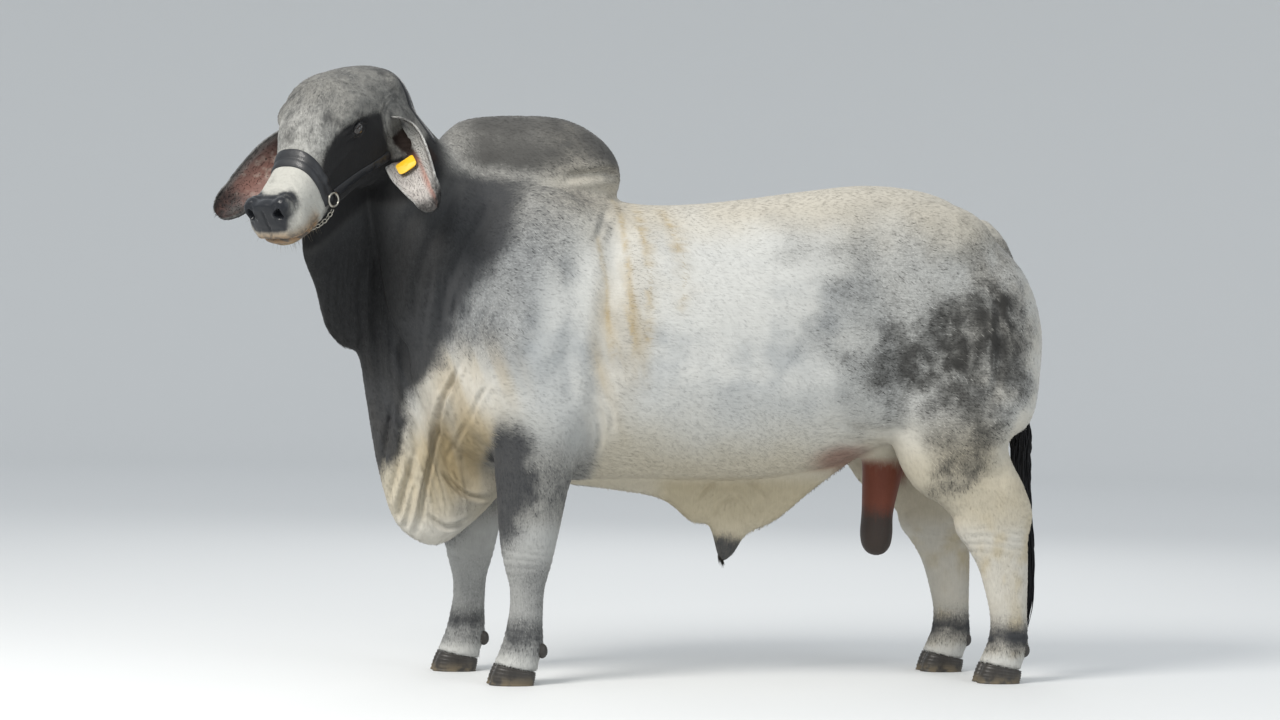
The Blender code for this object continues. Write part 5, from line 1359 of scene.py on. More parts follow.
def feetMeshes():
    horn, spurs = [], []
    for kind, ahead in hooves["ahead"].items():
        for side, way in sides.items():
            x, y = body[kind + "legX"][side], way * body[kind + "legY"]
            for outer in (-1, 1):
                out = math.copysign(outer, outer * y)
                horn.append(hoofMesh(x - ahead, y + out * hooves["apart"], out))
                bm = bmesh.new()
                bmesh.ops.create_uvsphere(bm, u_segments=32, v_segments=24, radius=1)
                points = np.array([v.co for v in bm.verts])
                # A blunt horn that points back and down, ringed like the hooves
                swell = 1 + 0.03 * np.sin(22 * points[:, 2])
                points[:, :2] *= (swell * (1 - 0.22 * ramp(-points[:, 2], 0.2, 1.0)))[:, None]
                points *= (0.0195, 0.0148, 0.0225)
                points[:, 0] += 0.004 * ramp(-points[:, 2], 0.0, 0.02)
                for v, p in zip(bm.verts, points):
                    v.co = Vector(p) + Vector((x + 0.04, y + out * 0.026, 0.1))
                spurs.append(meshFrom(bm))
    return joined(horn), joined(spurs)


def hornMaterial():
    material, tree, shader = newMaterial("horn")
    where = objectPlace(tree)
    streaks = grain(tree, where, 1.0, 4.0, (150, 150, 16))
    bands = grain(tree, where, 1.0, 3.0, (9, 9, 260))
    mud = grain(tree, where, 34, 5.0)
    z = addNode(tree, "ShaderNodeSeparateXYZ", Vector=where).outputs[2]
    colour = blended(tree, streaks, (0.012, 0.011, 0.01, 1), (0.05, 0.043, 0.036, 1))
    low = maths(tree, "MULTIPLY", between(tree, z, 0.035, 0.0, 0.0, 0.8), between(tree, mud, 0.35, 0.6))
    colour = blended(tree, low, colour, (0.17, 0.135, 0.085, 1))
    plug(tree, shader, {"Base Color": colour, "Roughness": between(tree, low, 0.0, 1.0, 0.42, 0.85)})
    rise = maths(tree, "ADD", maths(tree, "MULTIPLY", bands, 0.8), maths(tree, "MULTIPLY", streaks, 0.5))
    addRelief(tree, shader, 0.5, 0.001, rise)
    return material


feetNodes = [f"{kind}_{side}_{claw}" for kind in ("fore", "hind") for side in sides for claw in ("inner", "outer")]
hoofLook, spurLook = feetMeshes()
horn = hornMaterial()
addPiece("hooves", hoofLook, "hoof", *[f"hoof_{name}" for name in feetNodes], material=horn)
addPiece("dewclaws", spurLook, "hoof", *[f"dewclaw_{name}" for name in feetNodes], material=horn)
print("feet made")


# Halter and tag
halter = {"noseAt": 0.425, "noseWidth": 0.046, "strapWidth": 0.026, "strapUp": -0.072, "strapFall": 0.024,
          "thickness": 0.0045, "ringRadius": 0.019, "ringWire": 0.0034, "links": 17}
skinTree = treeOf(skinBody)
headTree = treeOf(skinBody, nearHead(pointsOf(skinBody), (-0.1, -0.172, -0.23), (0.75, 0.3, 0.23)))


def onSkin(f, u, l, way, lift=0.0, tree=skinTree):
    aim = (way[0] * faceWay + way[1] * crownWay + way[2] * cheekWay).normalized()
    start = headPoint(f, u, l)
    hit = tree.ray_cast(start + aim * 0.6, -aim)[0]
    return (hit or start) + aim * lift


def aroundHead(f, u, angle, lift=0.0, tree=skinTree):
    return onSkin(f, u, 0, (0, math.cos(angle), math.sin(angle)), lift, tree)


def strapMesh(place, count, rolls=1, across=44):
    # A strap from a function of the share along it, the share across it and the lift; rolls pad it lengthwise
    points = []
    for i in range(count):
        along = i / (count - 1)
        for k in range(across):
            turn = 2 * math.pi * k / across
            e = math.cos(turn)
            over = math.sin(turn)
            e = math.copysign(abs(e) ** 0.75, e)
            if over >= 0:
                pad = abs(math.sin(math.pi * rolls * (e + 1) / 2)) ** 0.6
                lift = halter["thickness"] * (0.5 + 0.6 * pad) * over**0.3
            else:
                lift = -0.0022 * abs(over) ** 0.3
            points.append(place(along, e, lift))
    bm = opened(meshOf("strap", points, gridFaces(count, across)))
    bmesh.ops.holes_fill(bm, edges=bm.edges)
    return meshFrom(bm)


def stitchShape(tree, given):
    ball = addNode(tree, "GeometryNodeMeshIcoSphere", Radius=1.0, Subdivisions=1)
    size = addNode(tree, "ShaderNodeCombineXYZ", X=given["Half length"], Y=given["Half width"], Z=given["Half width"])
    return addNode(tree, "GeometryNodeTransform", Geometry=ball.outputs["Mesh"], Scale=size.outputs[0]).outputs[0]


def linkShape(tree, given):
    loop = addNode(tree, "GeometryNodeCurvePrimitiveCircle", Resolution=32, Radius=1.0)
    size = addNode(tree, "ShaderNodeCombineXYZ", X=given["Half length"], Y=given["Half width"], Z=1.0)
    drawn = addNode(tree, "GeometryNodeTransform", Geometry=loop.outputs["Curve"], Scale=size.outputs[0])
    wire = addNode(tree, "GeometryNodeCurvePrimitiveCircle", Resolution=10, Radius=given["Wire"])
    return addNode(tree, "GeometryNodeCurveToMesh", Curve=drawn.outputs[0],
                   Profile_Curve=wire.outputs["Curve"]).outputs[0]


def rowTree(name, shape):
    # Copies of a shape in even steps along a line, their x along it, tilted to either side in turn
    tree = bpy.data.node_groups.new(name, "GeometryNodeTree")
    sizes = (("Count", "Int"), ("Half length", "Float"), ("Half width", "Float"), ("Wire", "Float"),
             ("Tilt", "Float"), ("Inside", "Vector"), ("Material", "Material"))
    tree.interface.new_socket("Geometry", in_out="INPUT", socket_type="NodeSocketGeometry")
    for label, kind in sizes:
        tree.interface.new_socket(label, in_out="INPUT", socket_type=f"NodeSocket{kind}")
    tree.interface.new_socket("Geometry", in_out="OUTPUT", socket_type="NodeSocketGeometry")
    given = tree.nodes.new("NodeGroupInput").outputs
    line = addNode(tree, "GeometryNodeMeshToCurve", Mesh=given["Geometry"]).outputs[0]
    line = addNode(tree, "GeometryNodeResampleCurve", Curve=line, Count=given["Count"]).outputs[0]
    ahead = addNode(tree, "GeometryNodeInputTangent").outputs[0]
    turn = addNode(tree, "FunctionNodeAlignRotationToVector", {"axis": "X"}, Vector=ahead).outputs[0]
    where = addNode(tree, "GeometryNodeInputPosition").outputs[0]
    out = addNode(tree, "ShaderNodeVectorMath", {"operation": "SUBTRACT"}, i0=where, i1=given["Inside"]).outputs[0]
    turn = addNode(tree, "FunctionNodeAlignRotationToVector", {"axis": "Z", "pivot_axis": "X"},
                   Rotation=turn, Vector=out).outputs[0]
    odd = maths(tree, "MODULO", addNode(tree, "GeometryNodeInputIndex").outputs[0], 2.0)
    angle = maths(tree, "MULTIPLY", maths(tree, "MULTIPLY_ADD", odd, 2.0, -1.0), given["Tilt"])
    tilt = addNode(tree, "FunctionNodeAxisAngleToRotation", Axis=(1, 0, 0), Angle=angle).outputs[0]
    turn = addNode(tree, "FunctionNodeRotateRotation", {"rotation_space": "LOCAL"}, Rotation=turn,
                   Rotate_By=tilt).outputs[0]
    row = addNode(tree, "GeometryNodeInstanceOnPoints", Points=line, Instance=shape(tree, given),
                  Rotation=turn).outputs[0]
    whole = addNode(tree, "GeometryNodeRealizeInstances", Geometry=row).outputs[0]
    whole = addNode(tree, "GeometryNodeSetMaterial", Geometry=whole, Material=given["Material"]).outputs[0]
    tree.links.new(whole, tree.nodes.new("NodeGroupOutput").inputs[0])
    return tree


def rowMesh(tree, path, values):
    # The tree's row along this path, as a plain mesh
    line = bpy.data.meshes.new("path")
    line.from_pydata([tuple(p) for p in path], [(i, i + 1) for i in range(len(path) - 1)], [])
    carrier = placed("path", line)
    modifier = carrier.modifiers.new("row", "NODES")
    modifier.node_group = tree
    for socket in tree.interface.items_tree:
        if socket.in_out == "INPUT" and socket.name in values:
            modifier[socket.identifier] = values[socket.name]
    made = bpy.data.meshes.new_from_object(carrier.evaluated_get(bpy.context.evaluated_depsgraph_get()))
    carrier.modifiers.remove(modifier)
    bpy.data.objects.remove(carrier)
    return made


def pathLength(path):
    return sum((b - a).length for a, b in zip(path, path[1:]))


def stitches(place, count, edges, lift):
    made = []
    for e in edges:
        path = [Vector(place((i + 0.5) / count, e, lift)) for i in range(count)]
        made.append(rowMesh(stitchRow, path,
                            {"Count": count, "Half length": pathLength(path) / count / 4, "Half width": 0.00055,
                             "Tilt": 0.0, "Inside": headPoint(0.2, 0.0, 0.0), "Material": thread}))
    return joined(made)


def bandPlace(f, width, u, reach, lean=0.0, tree=headTree):
    def place(along, e, lift):
        share = 2 * along - 1
        at = f + lean * share**2 + e * width / 2 / head["scale"]
        return aroundHead(at, u, math.radians(reach * share), lift, tree)
    return place


def cheekPlace(side):
    # Its rear end passes in under the ear
    way = -sides[side]

    def place(along, e, lift):
        f = 0.398 - (0.398 - 0.03) * along
        lift = lift - 0.016 * float(ramp(along, 0.56, 0.67))
        return onSkin(f, halter["strapUp"] - halter["strapFall"] * along + e * halter["strapWidth"] / 2, 0,
                      (0, 0, way), lift, headTree)
    return place


def ringMesh(centre, axis, around=64, section=16):
    # A ring of round wire
    turn = np.linspace(0, 2 * np.pi, around, endpoint=False)
    path = np.stack([np.cos(turn) * halter["ringRadius"], np.sin(turn) * halter["ringRadius"], 0 * turn], axis=1)
    ahead = np.roll(path, -1, axis=0) - np.roll(path, 1, axis=0)
    ahead /= np.linalg.norm(ahead, axis=1)[:, None]
    outward = np.cross(ahead, (0, 0, 1))
    wire = halter["ringWire"]
    points = []
    for i in range(around):
        for k in range(section):
            a = 2 * math.pi * k / section
            points.append(path[i] + outward[i] * math.cos(a) * wire + np.array((0, 0, math.sin(a) * wire)))
    mesh = meshOf("ring", points, [(a, d, c, b) for a, b, c, d in gridFaces(around, section, closed=True)])
    mesh.transform(Matrix.Translation(centre) @ Vector(axis).to_track_quat("Z", "Y").to_matrix().to_4x4())
    return mesh


leather = plainMaterial("leather", (24, 26, 30), 0.5, coat=0.12, scale=260, depth=0.35, distance=0.0006)
thread = plainMaterial("thread", (34, 34, 36), 0.8)
stitchRow = rowTree("stitches", stitchShape)
steel = plainMaterial("steel", (176, 172, 162), 0.3, metallic=1.0, scale=300, depth=0.12, vary=0.12)


def addStrap(name, place, count, rolls, edges, stitchCount, *nodes):
    mesh = strapMesh(place, count, rolls)
    seam = stitches(place, stitchCount, edges, halter["thickness"] * 0.86)
    whole = joined([mesh, seam])
    addPiece(name, whole, "halter_leather", *nodes, material=leather)
    whole.materials.append(thread)
    first = len(mesh.polygons)
    for polygon in whole.polygons[first:]:
        polygon.material_index = 1


addStrap("noseband_look", bandPlace(halter["noseAt"], halter["noseWidth"], -0.035, 122), 110, 2,
         (-0.8, -0.12, 0.12, 0.8), 60, "noseband")
addStrap("crown_strap_look", bandPlace(-0.036, halter["strapWidth"], -0.05, 118, 0.066, skinTree), 110, 1,
         (-0.72, 0.72), 90, "crown_strap")
for side in sides:
    addStrap(f"cheek_strap_{side}_look", cheekPlace(side), 80, 1, (-0.72, 0.72), 60, f"cheek_strap_{side}")
    way = -sides[side]
    at = onSkin(halter["noseAt"] - 0.01, halter["strapUp"] - 0.008, 0, (0, 0, way), 0.0085)
    ring = ringMesh(at, cheekWay * way + faceWay * 0.08)
    addPiece(f"halter_ring_{side}_look", ring, "halter_steel", f"halter_ring_{side}", material=steel)


def chainMesh():
    path = []
    for k in range(61):
        angle = math.radians(130 + 100 * k / 60)
        path.append(aroundHead(halter["noseAt"] + 0.045 * math.sin(math.pi * k / 60), -0.05, angle, 0.0105, headTree))
    values = {"Count": halter["links"], "Half length": pathLength(path) / halter["links"] * 0.6, "Half width": 0.006,
              "Wire": 0.0019, "Tilt": math.radians(45), "Inside": headPoint(halter["noseAt"], -0.05, 0.0),
              "Material": steel}
    return rowMesh(rowTree("chainLinks", linkShape), path, values)


addPiece("chin_chain_look", chainMesh(), "halter_steel", "chin_chain", material=steel)
print("halter made")

tag = {"at": (0.56, 0.36), "lift": 0.021, "size": (0.06, 0.042, 0.002)}


def tagMesh():
    spot = earPoint("left", *tag["at"])
    inside = earPoint("left", *tag["at"], tag["lift"])
    aim = (inside - spot).normalized()
    before, after = (earPoint("left", tag["at"][0] + step, tag["at"][1]) for step in (-0.1, 0.1))
    across = aim.cross((after - before).normalized()).normalized()
    axes = Matrix((across, aim.cross(across), aim)).transposed().to_4x4()
    place = Matrix.Translation(inside) @ axes
    rings = []
    for height, inset in ((-1, 0.0005), (-0.6, 0.0), (0.6, 0.0), (1, 0.0005)):
        ring = oval((0, 0, height * tag["size"][2] / 2), (1, 0, 0), (0, 1, 0), tag["size"][0] / 2 - inset,
                    tag["size"][1] / 2 - inset, tag["size"][1] / 2 - inset, 5.0, 64)
        ring[:, 2] += 0.0035 * (ring[:, 0] / 0.03) ** 2
        rings.append(ring)
    bm = opened(skinned(rings))
    bm.transform(place)
    parts = [meshFrom(bm)]
    for height, radius, deep in ((0.0018, 0.0115, 0.0022), (0.0034, 0.0055, 0.003), (-0.01, 0.0042, 0.024),
                                 (-0.0255, 0.0125, 0.0026)):
        bm = bmesh.new()
        bmesh.ops.create_cone(bm, cap_ends=True, segments=40, radius1=radius, radius2=radius * 0.94, depth=deep,
                              matrix=place @ Matrix.Translation((0, 0, height)))
        parts.append(meshFrom(bm))
    return joined(parts)


yellow = plainMaterial("tagYellow", (226, 178, 12), 0.42, scale=160, depth=0.1, vary=0.08)
addPiece("ear_tag_look", tagMesh(), "tag", "ear_tag", material=yellow, smooth=False)
print("tag made")


# Coat: thousands of small flat tufts that lie along the body
coat = {"seed": 11, "most": 190000, "share": 1.0, "patch": 0.003, "proxy": 12000,
        "trunk": (11000, 0.014, 0.0015, 0.0005), "legs": (17000, 0.0095, 0.0013, 0.0005),
        "head": (38000, 0.007, 0.001, 0.0004)}
chance = np.random.default_rng(coat["seed"])


def unwrapped():
    # The skin's own shape, thinned and laid out flat, to place every tuft's patch
    proxy = applied(skinBody, ("DECIMATE", {"ratio": min(1.0, coat["proxy"] / len(skinBody.polygons))}),
                    ("TRIANGULATE", {}))
    work = placed("layout", proxy)
    bpy.context.view_layer.objects.active = work
    work.select_set(True)
    bpy.ops.object.mode_set(mode="EDIT")
    bpy.ops.mesh.select_all(action="SELECT")
    bpy.ops.uv.smart_project(angle_limit=math.radians(66), island_margin=0.003)
    bpy.ops.object.mode_set(mode="OBJECT")
    flat = np.empty(len(proxy.loops) * 2, np.float32)
    proxy.uv_layers.active.data.foreach_get("uv", flat)
    tree, corners = treeOf(proxy), pointsOf(proxy)[cornersOf(proxy)]
    bpy.data.objects.remove(work, do_unlink=True)
    return tree, corners, flat.reshape(-1, 3, 2)


def layoutOf(roots):
    tree, corners, flat = skinLayout
    found = [tree.find_nearest(Vector(root)) for root in roots]
    index = np.array([hit[2] for hit in found])
    at = np.array([tuple(hit[0]) for hit in found])
    a, b, c = corners[index, 0], corners[index, 1], corners[index, 2]
    area = np.linalg.norm(np.cross(b - a, c - a), axis=1) + 1e-12
    shareB = np.linalg.norm(np.cross(at - a, c - a), axis=1) / area
    shareC = np.linalg.norm(np.cross(at - a, b - a), axis=1) / area
    uv = flat[index]
    return np.clip(uv[:, 0] + (uv[:, 1] - uv[:, 0]) * shareB[:, None] + (uv[:, 2] - uv[:, 0]) * shareC[:, None],
                   0.002, 0.998)


def unit(vectors):
    return vectors / np.maximum(np.linalg.norm(vectors, axis=1), 1e-9)[:, None]


def lieOf(points, normals):
    # The way the hair lies: back and down the body, down the legs, from the whorl of the forehead over the face
    x, y, z = points.T
    f, u, l = headCoords(points).T
    down = 0.45 + 1.6 * fade(z, 0.5, 0.75) + 0.9 * ramp(-x, 0.4, 0.65) + 0.6 * ramp(x, 0.85, 1.1)
    way = np.stack([np.ones(len(x)) * (0.35 + 0.65 * ramp(z, 0.5, 0.75)), 0 * x, -down], axis=1)
    face = ramp(f, -0.03, 0.05) * ramp(z, 1.1, 1.2) * ramp(-x, 0.6, 0.66)
    along = np.tanh((f - 0.2) / 0.05) * ramp(u, 0.02, 0.07) - 0.8 * fade(u, 0.02, 0.07)
    aside = np.sign(l) * 0.5 * np.abs(l) / 0.1
    onFace = np.outer(along, faceWay) + np.outer(aside, cheekWay) - np.outer(0.35 + 0.5 * fade(u, 0, 0.06), (0, 0, 1))
    way = unit(way) * (1 - face)[:, None] + unit(onFace) * face[:, None]
    turn = (noise(points, 7, 41, 2) - 0.5) * 1.1 + (noise(points, 24, 42) - 0.5) * 0.5
    way = way - normals * np.sum(way * normals, axis=1)[:, None]
    way = unit(way)
    across = np.cross(way, normals)
    return unit(way * np.cos(turn)[:, None] + across * np.sin(turn)[:, None])


def coatPlan(points, normals):
    # Tufts to the square metre, and their length, width and lift
    x, y, z = points.T
    f, u, l = headCoords(points).T
    face = ramp(f, -0.03, 0.05) * ramp(z, 1.12, 1.2) * ramp(-x, 0.6, 0.66)
    low = fade(z, 0.48, 0.66) * (1 - ramp(np.abs(x - 0.33), 0.36, 0.3) * (z > 0.36)) * (z < 0.66)
    plan = np.array(coat["trunk"])[None, :] * np.ones((len(x), 1))
    plan = plan + (np.array(coat["legs"]) - plan) * low[:, None]
    plan = plan + (np.array(coat["head"]) - plan) * face[:, None]
    density, length, width, lift = plan.T
    crest = face * ramp(u, 0.13, 0.17)
    length = length * (1 + 0.9 * crest) * (1 - 0.35 * face * ramp(f, 0.42, 0.5))
    lift = lift * (1 + 1.6 * crest)
    ridge = ramp(normals[:, 2], 0.75, 0.95) * ramp(z, 1.3, 1.4) * (1 - face)
    under = ramp(-normals[:, 2], 0.3, 0.8) * ramp(z, 0.3, 0.4) * (1 - face)
    length = length * (1 + 0.35 * ridge + 0.5 * under)
    lift = lift * (1 + 0.5 * ridge + 1.2 * under)
    fetlock = bump(z - 0.105, 0.022) + bump(z - 0.062, 0.014) * 0.7
    rear = 0.4 + 0.6 * ramp(normals[:, 0], -0.2, 0.5)
    length = length * (1 + fetlock * rear)
    density = density * (1 + 0.8 * fetlock)
    lift = lift * (1 + 1.5 * fetlock * rear)
    density = density * ramp(z, 0.04, 0.052)
    return density, length, width, lift


def layOut(mesh, uv, spread, faces):
    # Each tuft's small patch in the map
    flat = (uv[:, None, :] + spread[None] * coat["patch"] / 2).reshape(-1, 2)
    layer = mesh.uv_layers.new(name="OFBake")
    layer.data.foreach_set("uv", flat[faces.ravel()].astype(np.float32).ravel())


def tuftMesh(name, roots, normals, ways, lengths, widths, lifts, looks, uv):
    # Each tuft: a flat spike of two rings and a tip, ten triangles, its root sunk in the skin
    count = len(roots)
    across = np.cross(ways, normals)
    width = widths[:, None]
    rise = lifts[:, None]
    length = lengths[:, None]
    bend = (chance.random((count, 1)) - 0.5) * 0.35
    first = roots - normals * 0.0009
    middle = roots + ways * length * 0.5 + normals * rise + across * length * bend * 0.3
    tip = roots + ways * length + normals * rise * (0.5 + 1.1 * chance.random((count, 1))) + across * length * bend
    points = np.stack([first - across * width * 0.45, first + across * width * 0.45, first + normals * width * 0.35,
                       middle - across * width * 0.5, middle + across * width * 0.5,
                       middle + normals * width * 0.3, tip], axis=1)
    faces = []
    for a, b in ((0, 1), (1, 2), (2, 0)):
        faces += [(a, a + 3, b + 3), (a, b + 3, b), (a + 3, 6, b + 3)]
    faces.append((0, 1, 2))
    faces = np.array(faces)[None] + 7 * np.arange(count)[:, None, None]
    mesh = meshOf(name, points.reshape(-1, 3), faces.reshape(-1, 3))
    for key, values in looks.items():
        setColours(mesh, key, np.repeat(values, 7, axis=0))
    # Lit like the skin they lie on, each leaning a little its own way
    lean = unit(normals + 0.16 * (chance.random((count, 3)) - 0.5) + 0.05 * ways)
    mesh.shade_smooth()
    mesh.normals_split_custom_set_from_vertices(np.repeat(lean, 7, axis=0))
    spread = np.array([(-1, -1), (1, -1), (0, -1), (-1, 0), (1, 0), (0, 0.2), (0, 1)])
    layOut(mesh, uv, spread, faces)
    return mesh


def looksAt(points, normals, spread=1.0):
    # Markings for tufts: where both hairs grow together, each tuft is more one colour than the other
    pale, dark, amount, bare, wet = markings(points, normals)
    mixedness = 4 * amount * (1 - amount)
    amount = np.clip(amount + (chance.random(len(points)) - 0.5) * mixedness * spread, 0, 1)
    level = 1 + 0.1 * (chance.random(len(points)) - 0.5)[:, None]
    return {"paleTint": pale * level, "darkTint": dark * level,
            "traits": np.stack([amount, bare * 0, wet * 0], axis=1)}, np.maximum(bare, wet)


def rootsOn(mesh, plan, share):
    # Roots spread over a mesh at the planned density
    points, normals, corners = pointsOf(mesh), normalsOf(mesh), cornersOf(mesh)
    a, b, c = points[corners[:, 0]], points[corners[:, 1]], points[corners[:, 2]]
    area = np.linalg.norm(np.cross(b - a, c - a), axis=1) / 2
    middles = (a + b + c) / 3
    middleNormals = unit(normals[corners].sum(axis=1))
    wanted = np.cumsum(area * plan(middles, middleNormals)[0] * share)
    count = int(wanted[-1])
    index = np.searchsorted(wanted, (np.arange(count) + chance.random(count)) * wanted[-1] / count)
    index = np.clip(index, 0, len(corners) - 1)
    s = np.sqrt(chance.random(count))[:, None]
    t = chance.random(count)[:, None]
    weights = (1 - s, s * (1 - t), s * t)
    spots = weights[0] * a[index] + weights[1] * b[index] + weights[2] * c[index]
    facing = sum(w * normals[corners[index, k]] for k, w in enumerate(weights))
    return spots, unit(facing)


fur = hideMaterial("fur", bumped=False)
skinLayout = unwrapped()
roots, facing = rootsOn(skinBody, coatPlan, coat["share"])
looks, bareness = looksAt(roots, facing)
kept = chance.random(len(roots)) > np.clip(bareness * 1.3, 0, 1)
# Nothing grows in the lids' openings
kept &= ~nearEyes(roots, 0.0265)
roots, facing = roots[kept], facing[kept]
looks = {key: values[kept] for key, values in looks.items()}
_, lengths, widths, lifts = coatPlan(roots, facing)
vary = 0.75 + 0.5 * chance.random(len(roots))
ways = lieOf(roots, facing)
uv = layoutOf(roots)
order = np.argsort(roots[:, 0])
pieces = int(np.ceil(len(order) * 10 / coat["most"]))
for k, rows in enumerate(np.array_split(order, pieces)):
    mesh = tuftMesh(f"coat_{k + 1}", roots[rows], facing[rows], ways[rows], (lengths * vary)[rows],
                    (widths * vary)[rows], lifts[rows] * (0.6 + 0.8 * chance.random(len(rows))),
                    {key: values[rows] for key, values in looks.items()}, uv[rows])
    addPiece(f"coat_{k + 1}", mesh, "hair", material=fur)
print("coat", len(roots), "tufts in", pieces, "pieces")


# Ears' hair, the lashes, the switch of the tail and other long hair. Ears: tufts to the square metre. Lashes: which
# edge of the opening, how many, their length and their way up or down
longHair = {"ears": 42000.0, "lashes": ((0, 44, 0.017, 1), (1, 24, 0.009, -1)), "sheath": 90, "whiskers": 130}


def earTufts(side):
    mesh = earPieces[side]
    moved = mesh.copy()
    moved.transform(Matrix.Translation(-shift))

    def plan(points, normals):
        return (np.full(len(points), longHair["ears"]),)

    spots, out = rootsOn(moved, plan, coat["share"])
    held = {}
    tree = treeOf(moved)
    near = [moved.polygons[tree.find_nearest(Vector(spot))[2]].vertices[0] for spot in spots]
    for name in ("paleTint", "darkTint", "traits"):
        values = np.empty(len(moved.vertices) * 4, np.float32)
        moved.attributes[name].data.foreach_get("color", values)
        held[name] = values.reshape(-1, 4)[near, :3]
    bare = held["traits"][:, 1]
    keep = chance.random(len(spots)) > bare * 0.75
    spots, out = spots[keep], out[keep]
    held = {name: values[keep] for name, values in held.items()}
    bare = bare[keep]
    held["traits"][:, 1:] = 0
    held["paleTint"] = mixed(held["paleTint"], tint("white"), bare * 0.5)
    line = np.array([tuple(earFrame(side, s)[0]) for s in np.linspace(0, 1, 41).tolist()])
    aims = np.array([tuple(earFrame(side, s)[1]) for s in np.linspace(0, 1, 41).tolist()])
    nearest = np.argmin(np.linalg.norm(spots[:, None] - line[None], axis=2), axis=1)
    way = aims[nearest] - out * np.sum(aims[nearest] * out, axis=1)[:, None]
    way = unit(way + 0.25 * (chance.random((len(spots), 3)) - 0.5))
    length = (0.0065 + 0.006 * bare) * (0.7 + 0.6 * chance.random(len(spots)))
    outside = np.full(len(spots), 0.0006) + 0.001 * bare
    mesh = tuftMesh(f"earHair_{side}", spots, out, way, length, np.full(len(spots), 0.0012),
                    outside, held, layoutOf(spots))
    addPiece(f"ear_hair_{side}", mesh, "hair", material=fur)


def lockMesh(name, paths, radii, flatness, colours, section=5):
    # Long locks: one tapering tube along each path, closed at both ends
    count, rings = paths.shape[:2]
    ahead = unit(np.gradient(paths, axis=1).reshape(-1, 3)).reshape(paths.shape)
    guide = np.where(np.abs(ahead[..., 2:]) > 0.8, np.array([0.6, 0.8, 0.0]), np.array([0.0, 0.0, 1.0]))
    first = unit(np.cross(ahead, guide).reshape(-1, 3)).reshape(paths.shape)
    second = np.cross(ahead, first)
    points = []
    for k in range(section):
        a = 2 * math.pi * k / section
        points.append(paths + radii[..., None] * (first * math.cos(a) + second * math.sin(a) * flatness))
    points = np.stack(points, axis=2).reshape(-1, 3)
    faces = []
    for i in range(rings - 1):
        for k in range(section):
            n = (k + 1) % section
            a, b, c, d = i * section + k, i * section + n, (i + 1) * section + n, (i + 1) * section + k
            faces += [(a, b, c), (a, c, d)]
    last = (rings - 1) * section
    for k in range(1, section - 1):
        faces += [(0, k + 1, k), (last, last + k, last + k + 1)]
    faces = np.array(faces)[None] + rings * section * np.arange(count)[:, None, None]
    mesh = meshOf(name, points, faces.reshape(-1, 3))
    each = rings * section
    colours = np.repeat(colours, each, axis=0)
    setLooks(mesh, colours, colours, np.zeros((count * each, 3)))
    spread = np.stack([np.tile(np.linspace(-1, 1, section), rings), np.repeat(np.linspace(-1, 1, rings), section)],
                      axis=1)
    layOut(mesh, layoutOf(paths[:, 0]), spread, faces)
    return mesh


tailHair = {"locks": 520, "rings": 11, "width": 0.0034, "top": 0.84, "reach": 1.252}


def tailLocks():
    count, rings = tailHair["locks"], tailHair["rings"]
    start = 0.4 + (tailHair["top"] - 0.4) * chance.random(count) ** 0.9
    turn = 2 * np.pi * chance.random(count)
    thick = 0.01 + 0.004 * ramp(0.7 - start, 0.0, 0.2)
    length = 0.14 + 0.3 * ramp(0.8 - start, 0.0, 0.25) * (0.5 + 0.5 * chance.random(count))
    end = np.maximum(start - length, 0.128 + 0.05 * chance.random(count))
    spread = 0.02 + 0.016 * chance.random(count)
    t = np.linspace(0, 1, rings)[None]
    z = start[:, None] + (end - start)[:, None] * t
    middle = np.interp(z, (0.12, 0.395, 0.48, 0.58, 0.66, 0.78, 0.9),
                       (1.222, 1.22, 1.214, 1.208, 1.206, 1.203, 1.196))
    belly = np.sin(np.pi * np.minimum(t * 1.1, 1.0) * 0.62)
    swell = thick[:, None] * (1 - t) + spread[:, None] * belly * (1 - 0.45 * t**3)
    wave = 0.004 * np.sin(2 * np.pi * (t * (1 + chance.random((count, 1))) + chance.random((count, 1)))) * t
    aside = np.sin(turn)[:, None] * swell * 0.85 + 0.7 * wave
    paths = np.stack([middle + np.cos(turn)[:, None] * swell + wave, aside, z], axis=2)
    paths[..., 0] = np.minimum(paths[..., 0], tailHair["reach"])
    taper = np.clip(1.08 - t**2.2, 0.05, 1.0) * (0.55 + 0.45 * ramp(t, 0.0, 0.2))
    radii = tailHair["width"] * (0.6 + 0.6 * chance.random((count, 1))) * taper
    shade = linear((24, 24, 26))[None] * (0.6 + 1.1 * chance.random((count, 1)))
    return lockMesh("switchHair", paths, radii, 0.45, shade)


def tippedLocks(name, roots, ways, lengths, width, droop, colour, rings=6):
    # Fine single hairs and small locks, curving towards the droop
    t = np.linspace(0, 1, rings)[None, :, None]
    size = lengths[:, None, None]
    paths = roots[:, None] + ways[:, None] * size * t + np.asarray(droop)[None, None] * size * t**2
    radii = width * np.clip(1.05 - t[..., 0] ** 1.5, 0.08, 1.0) * np.ones((len(roots), 1))
    shade = np.asarray(colour)[None] * (0.7 + 0.6 * chance.random((len(roots), 1)))
    return lockMesh(name, paths, radii, 0.7, shade, 4)


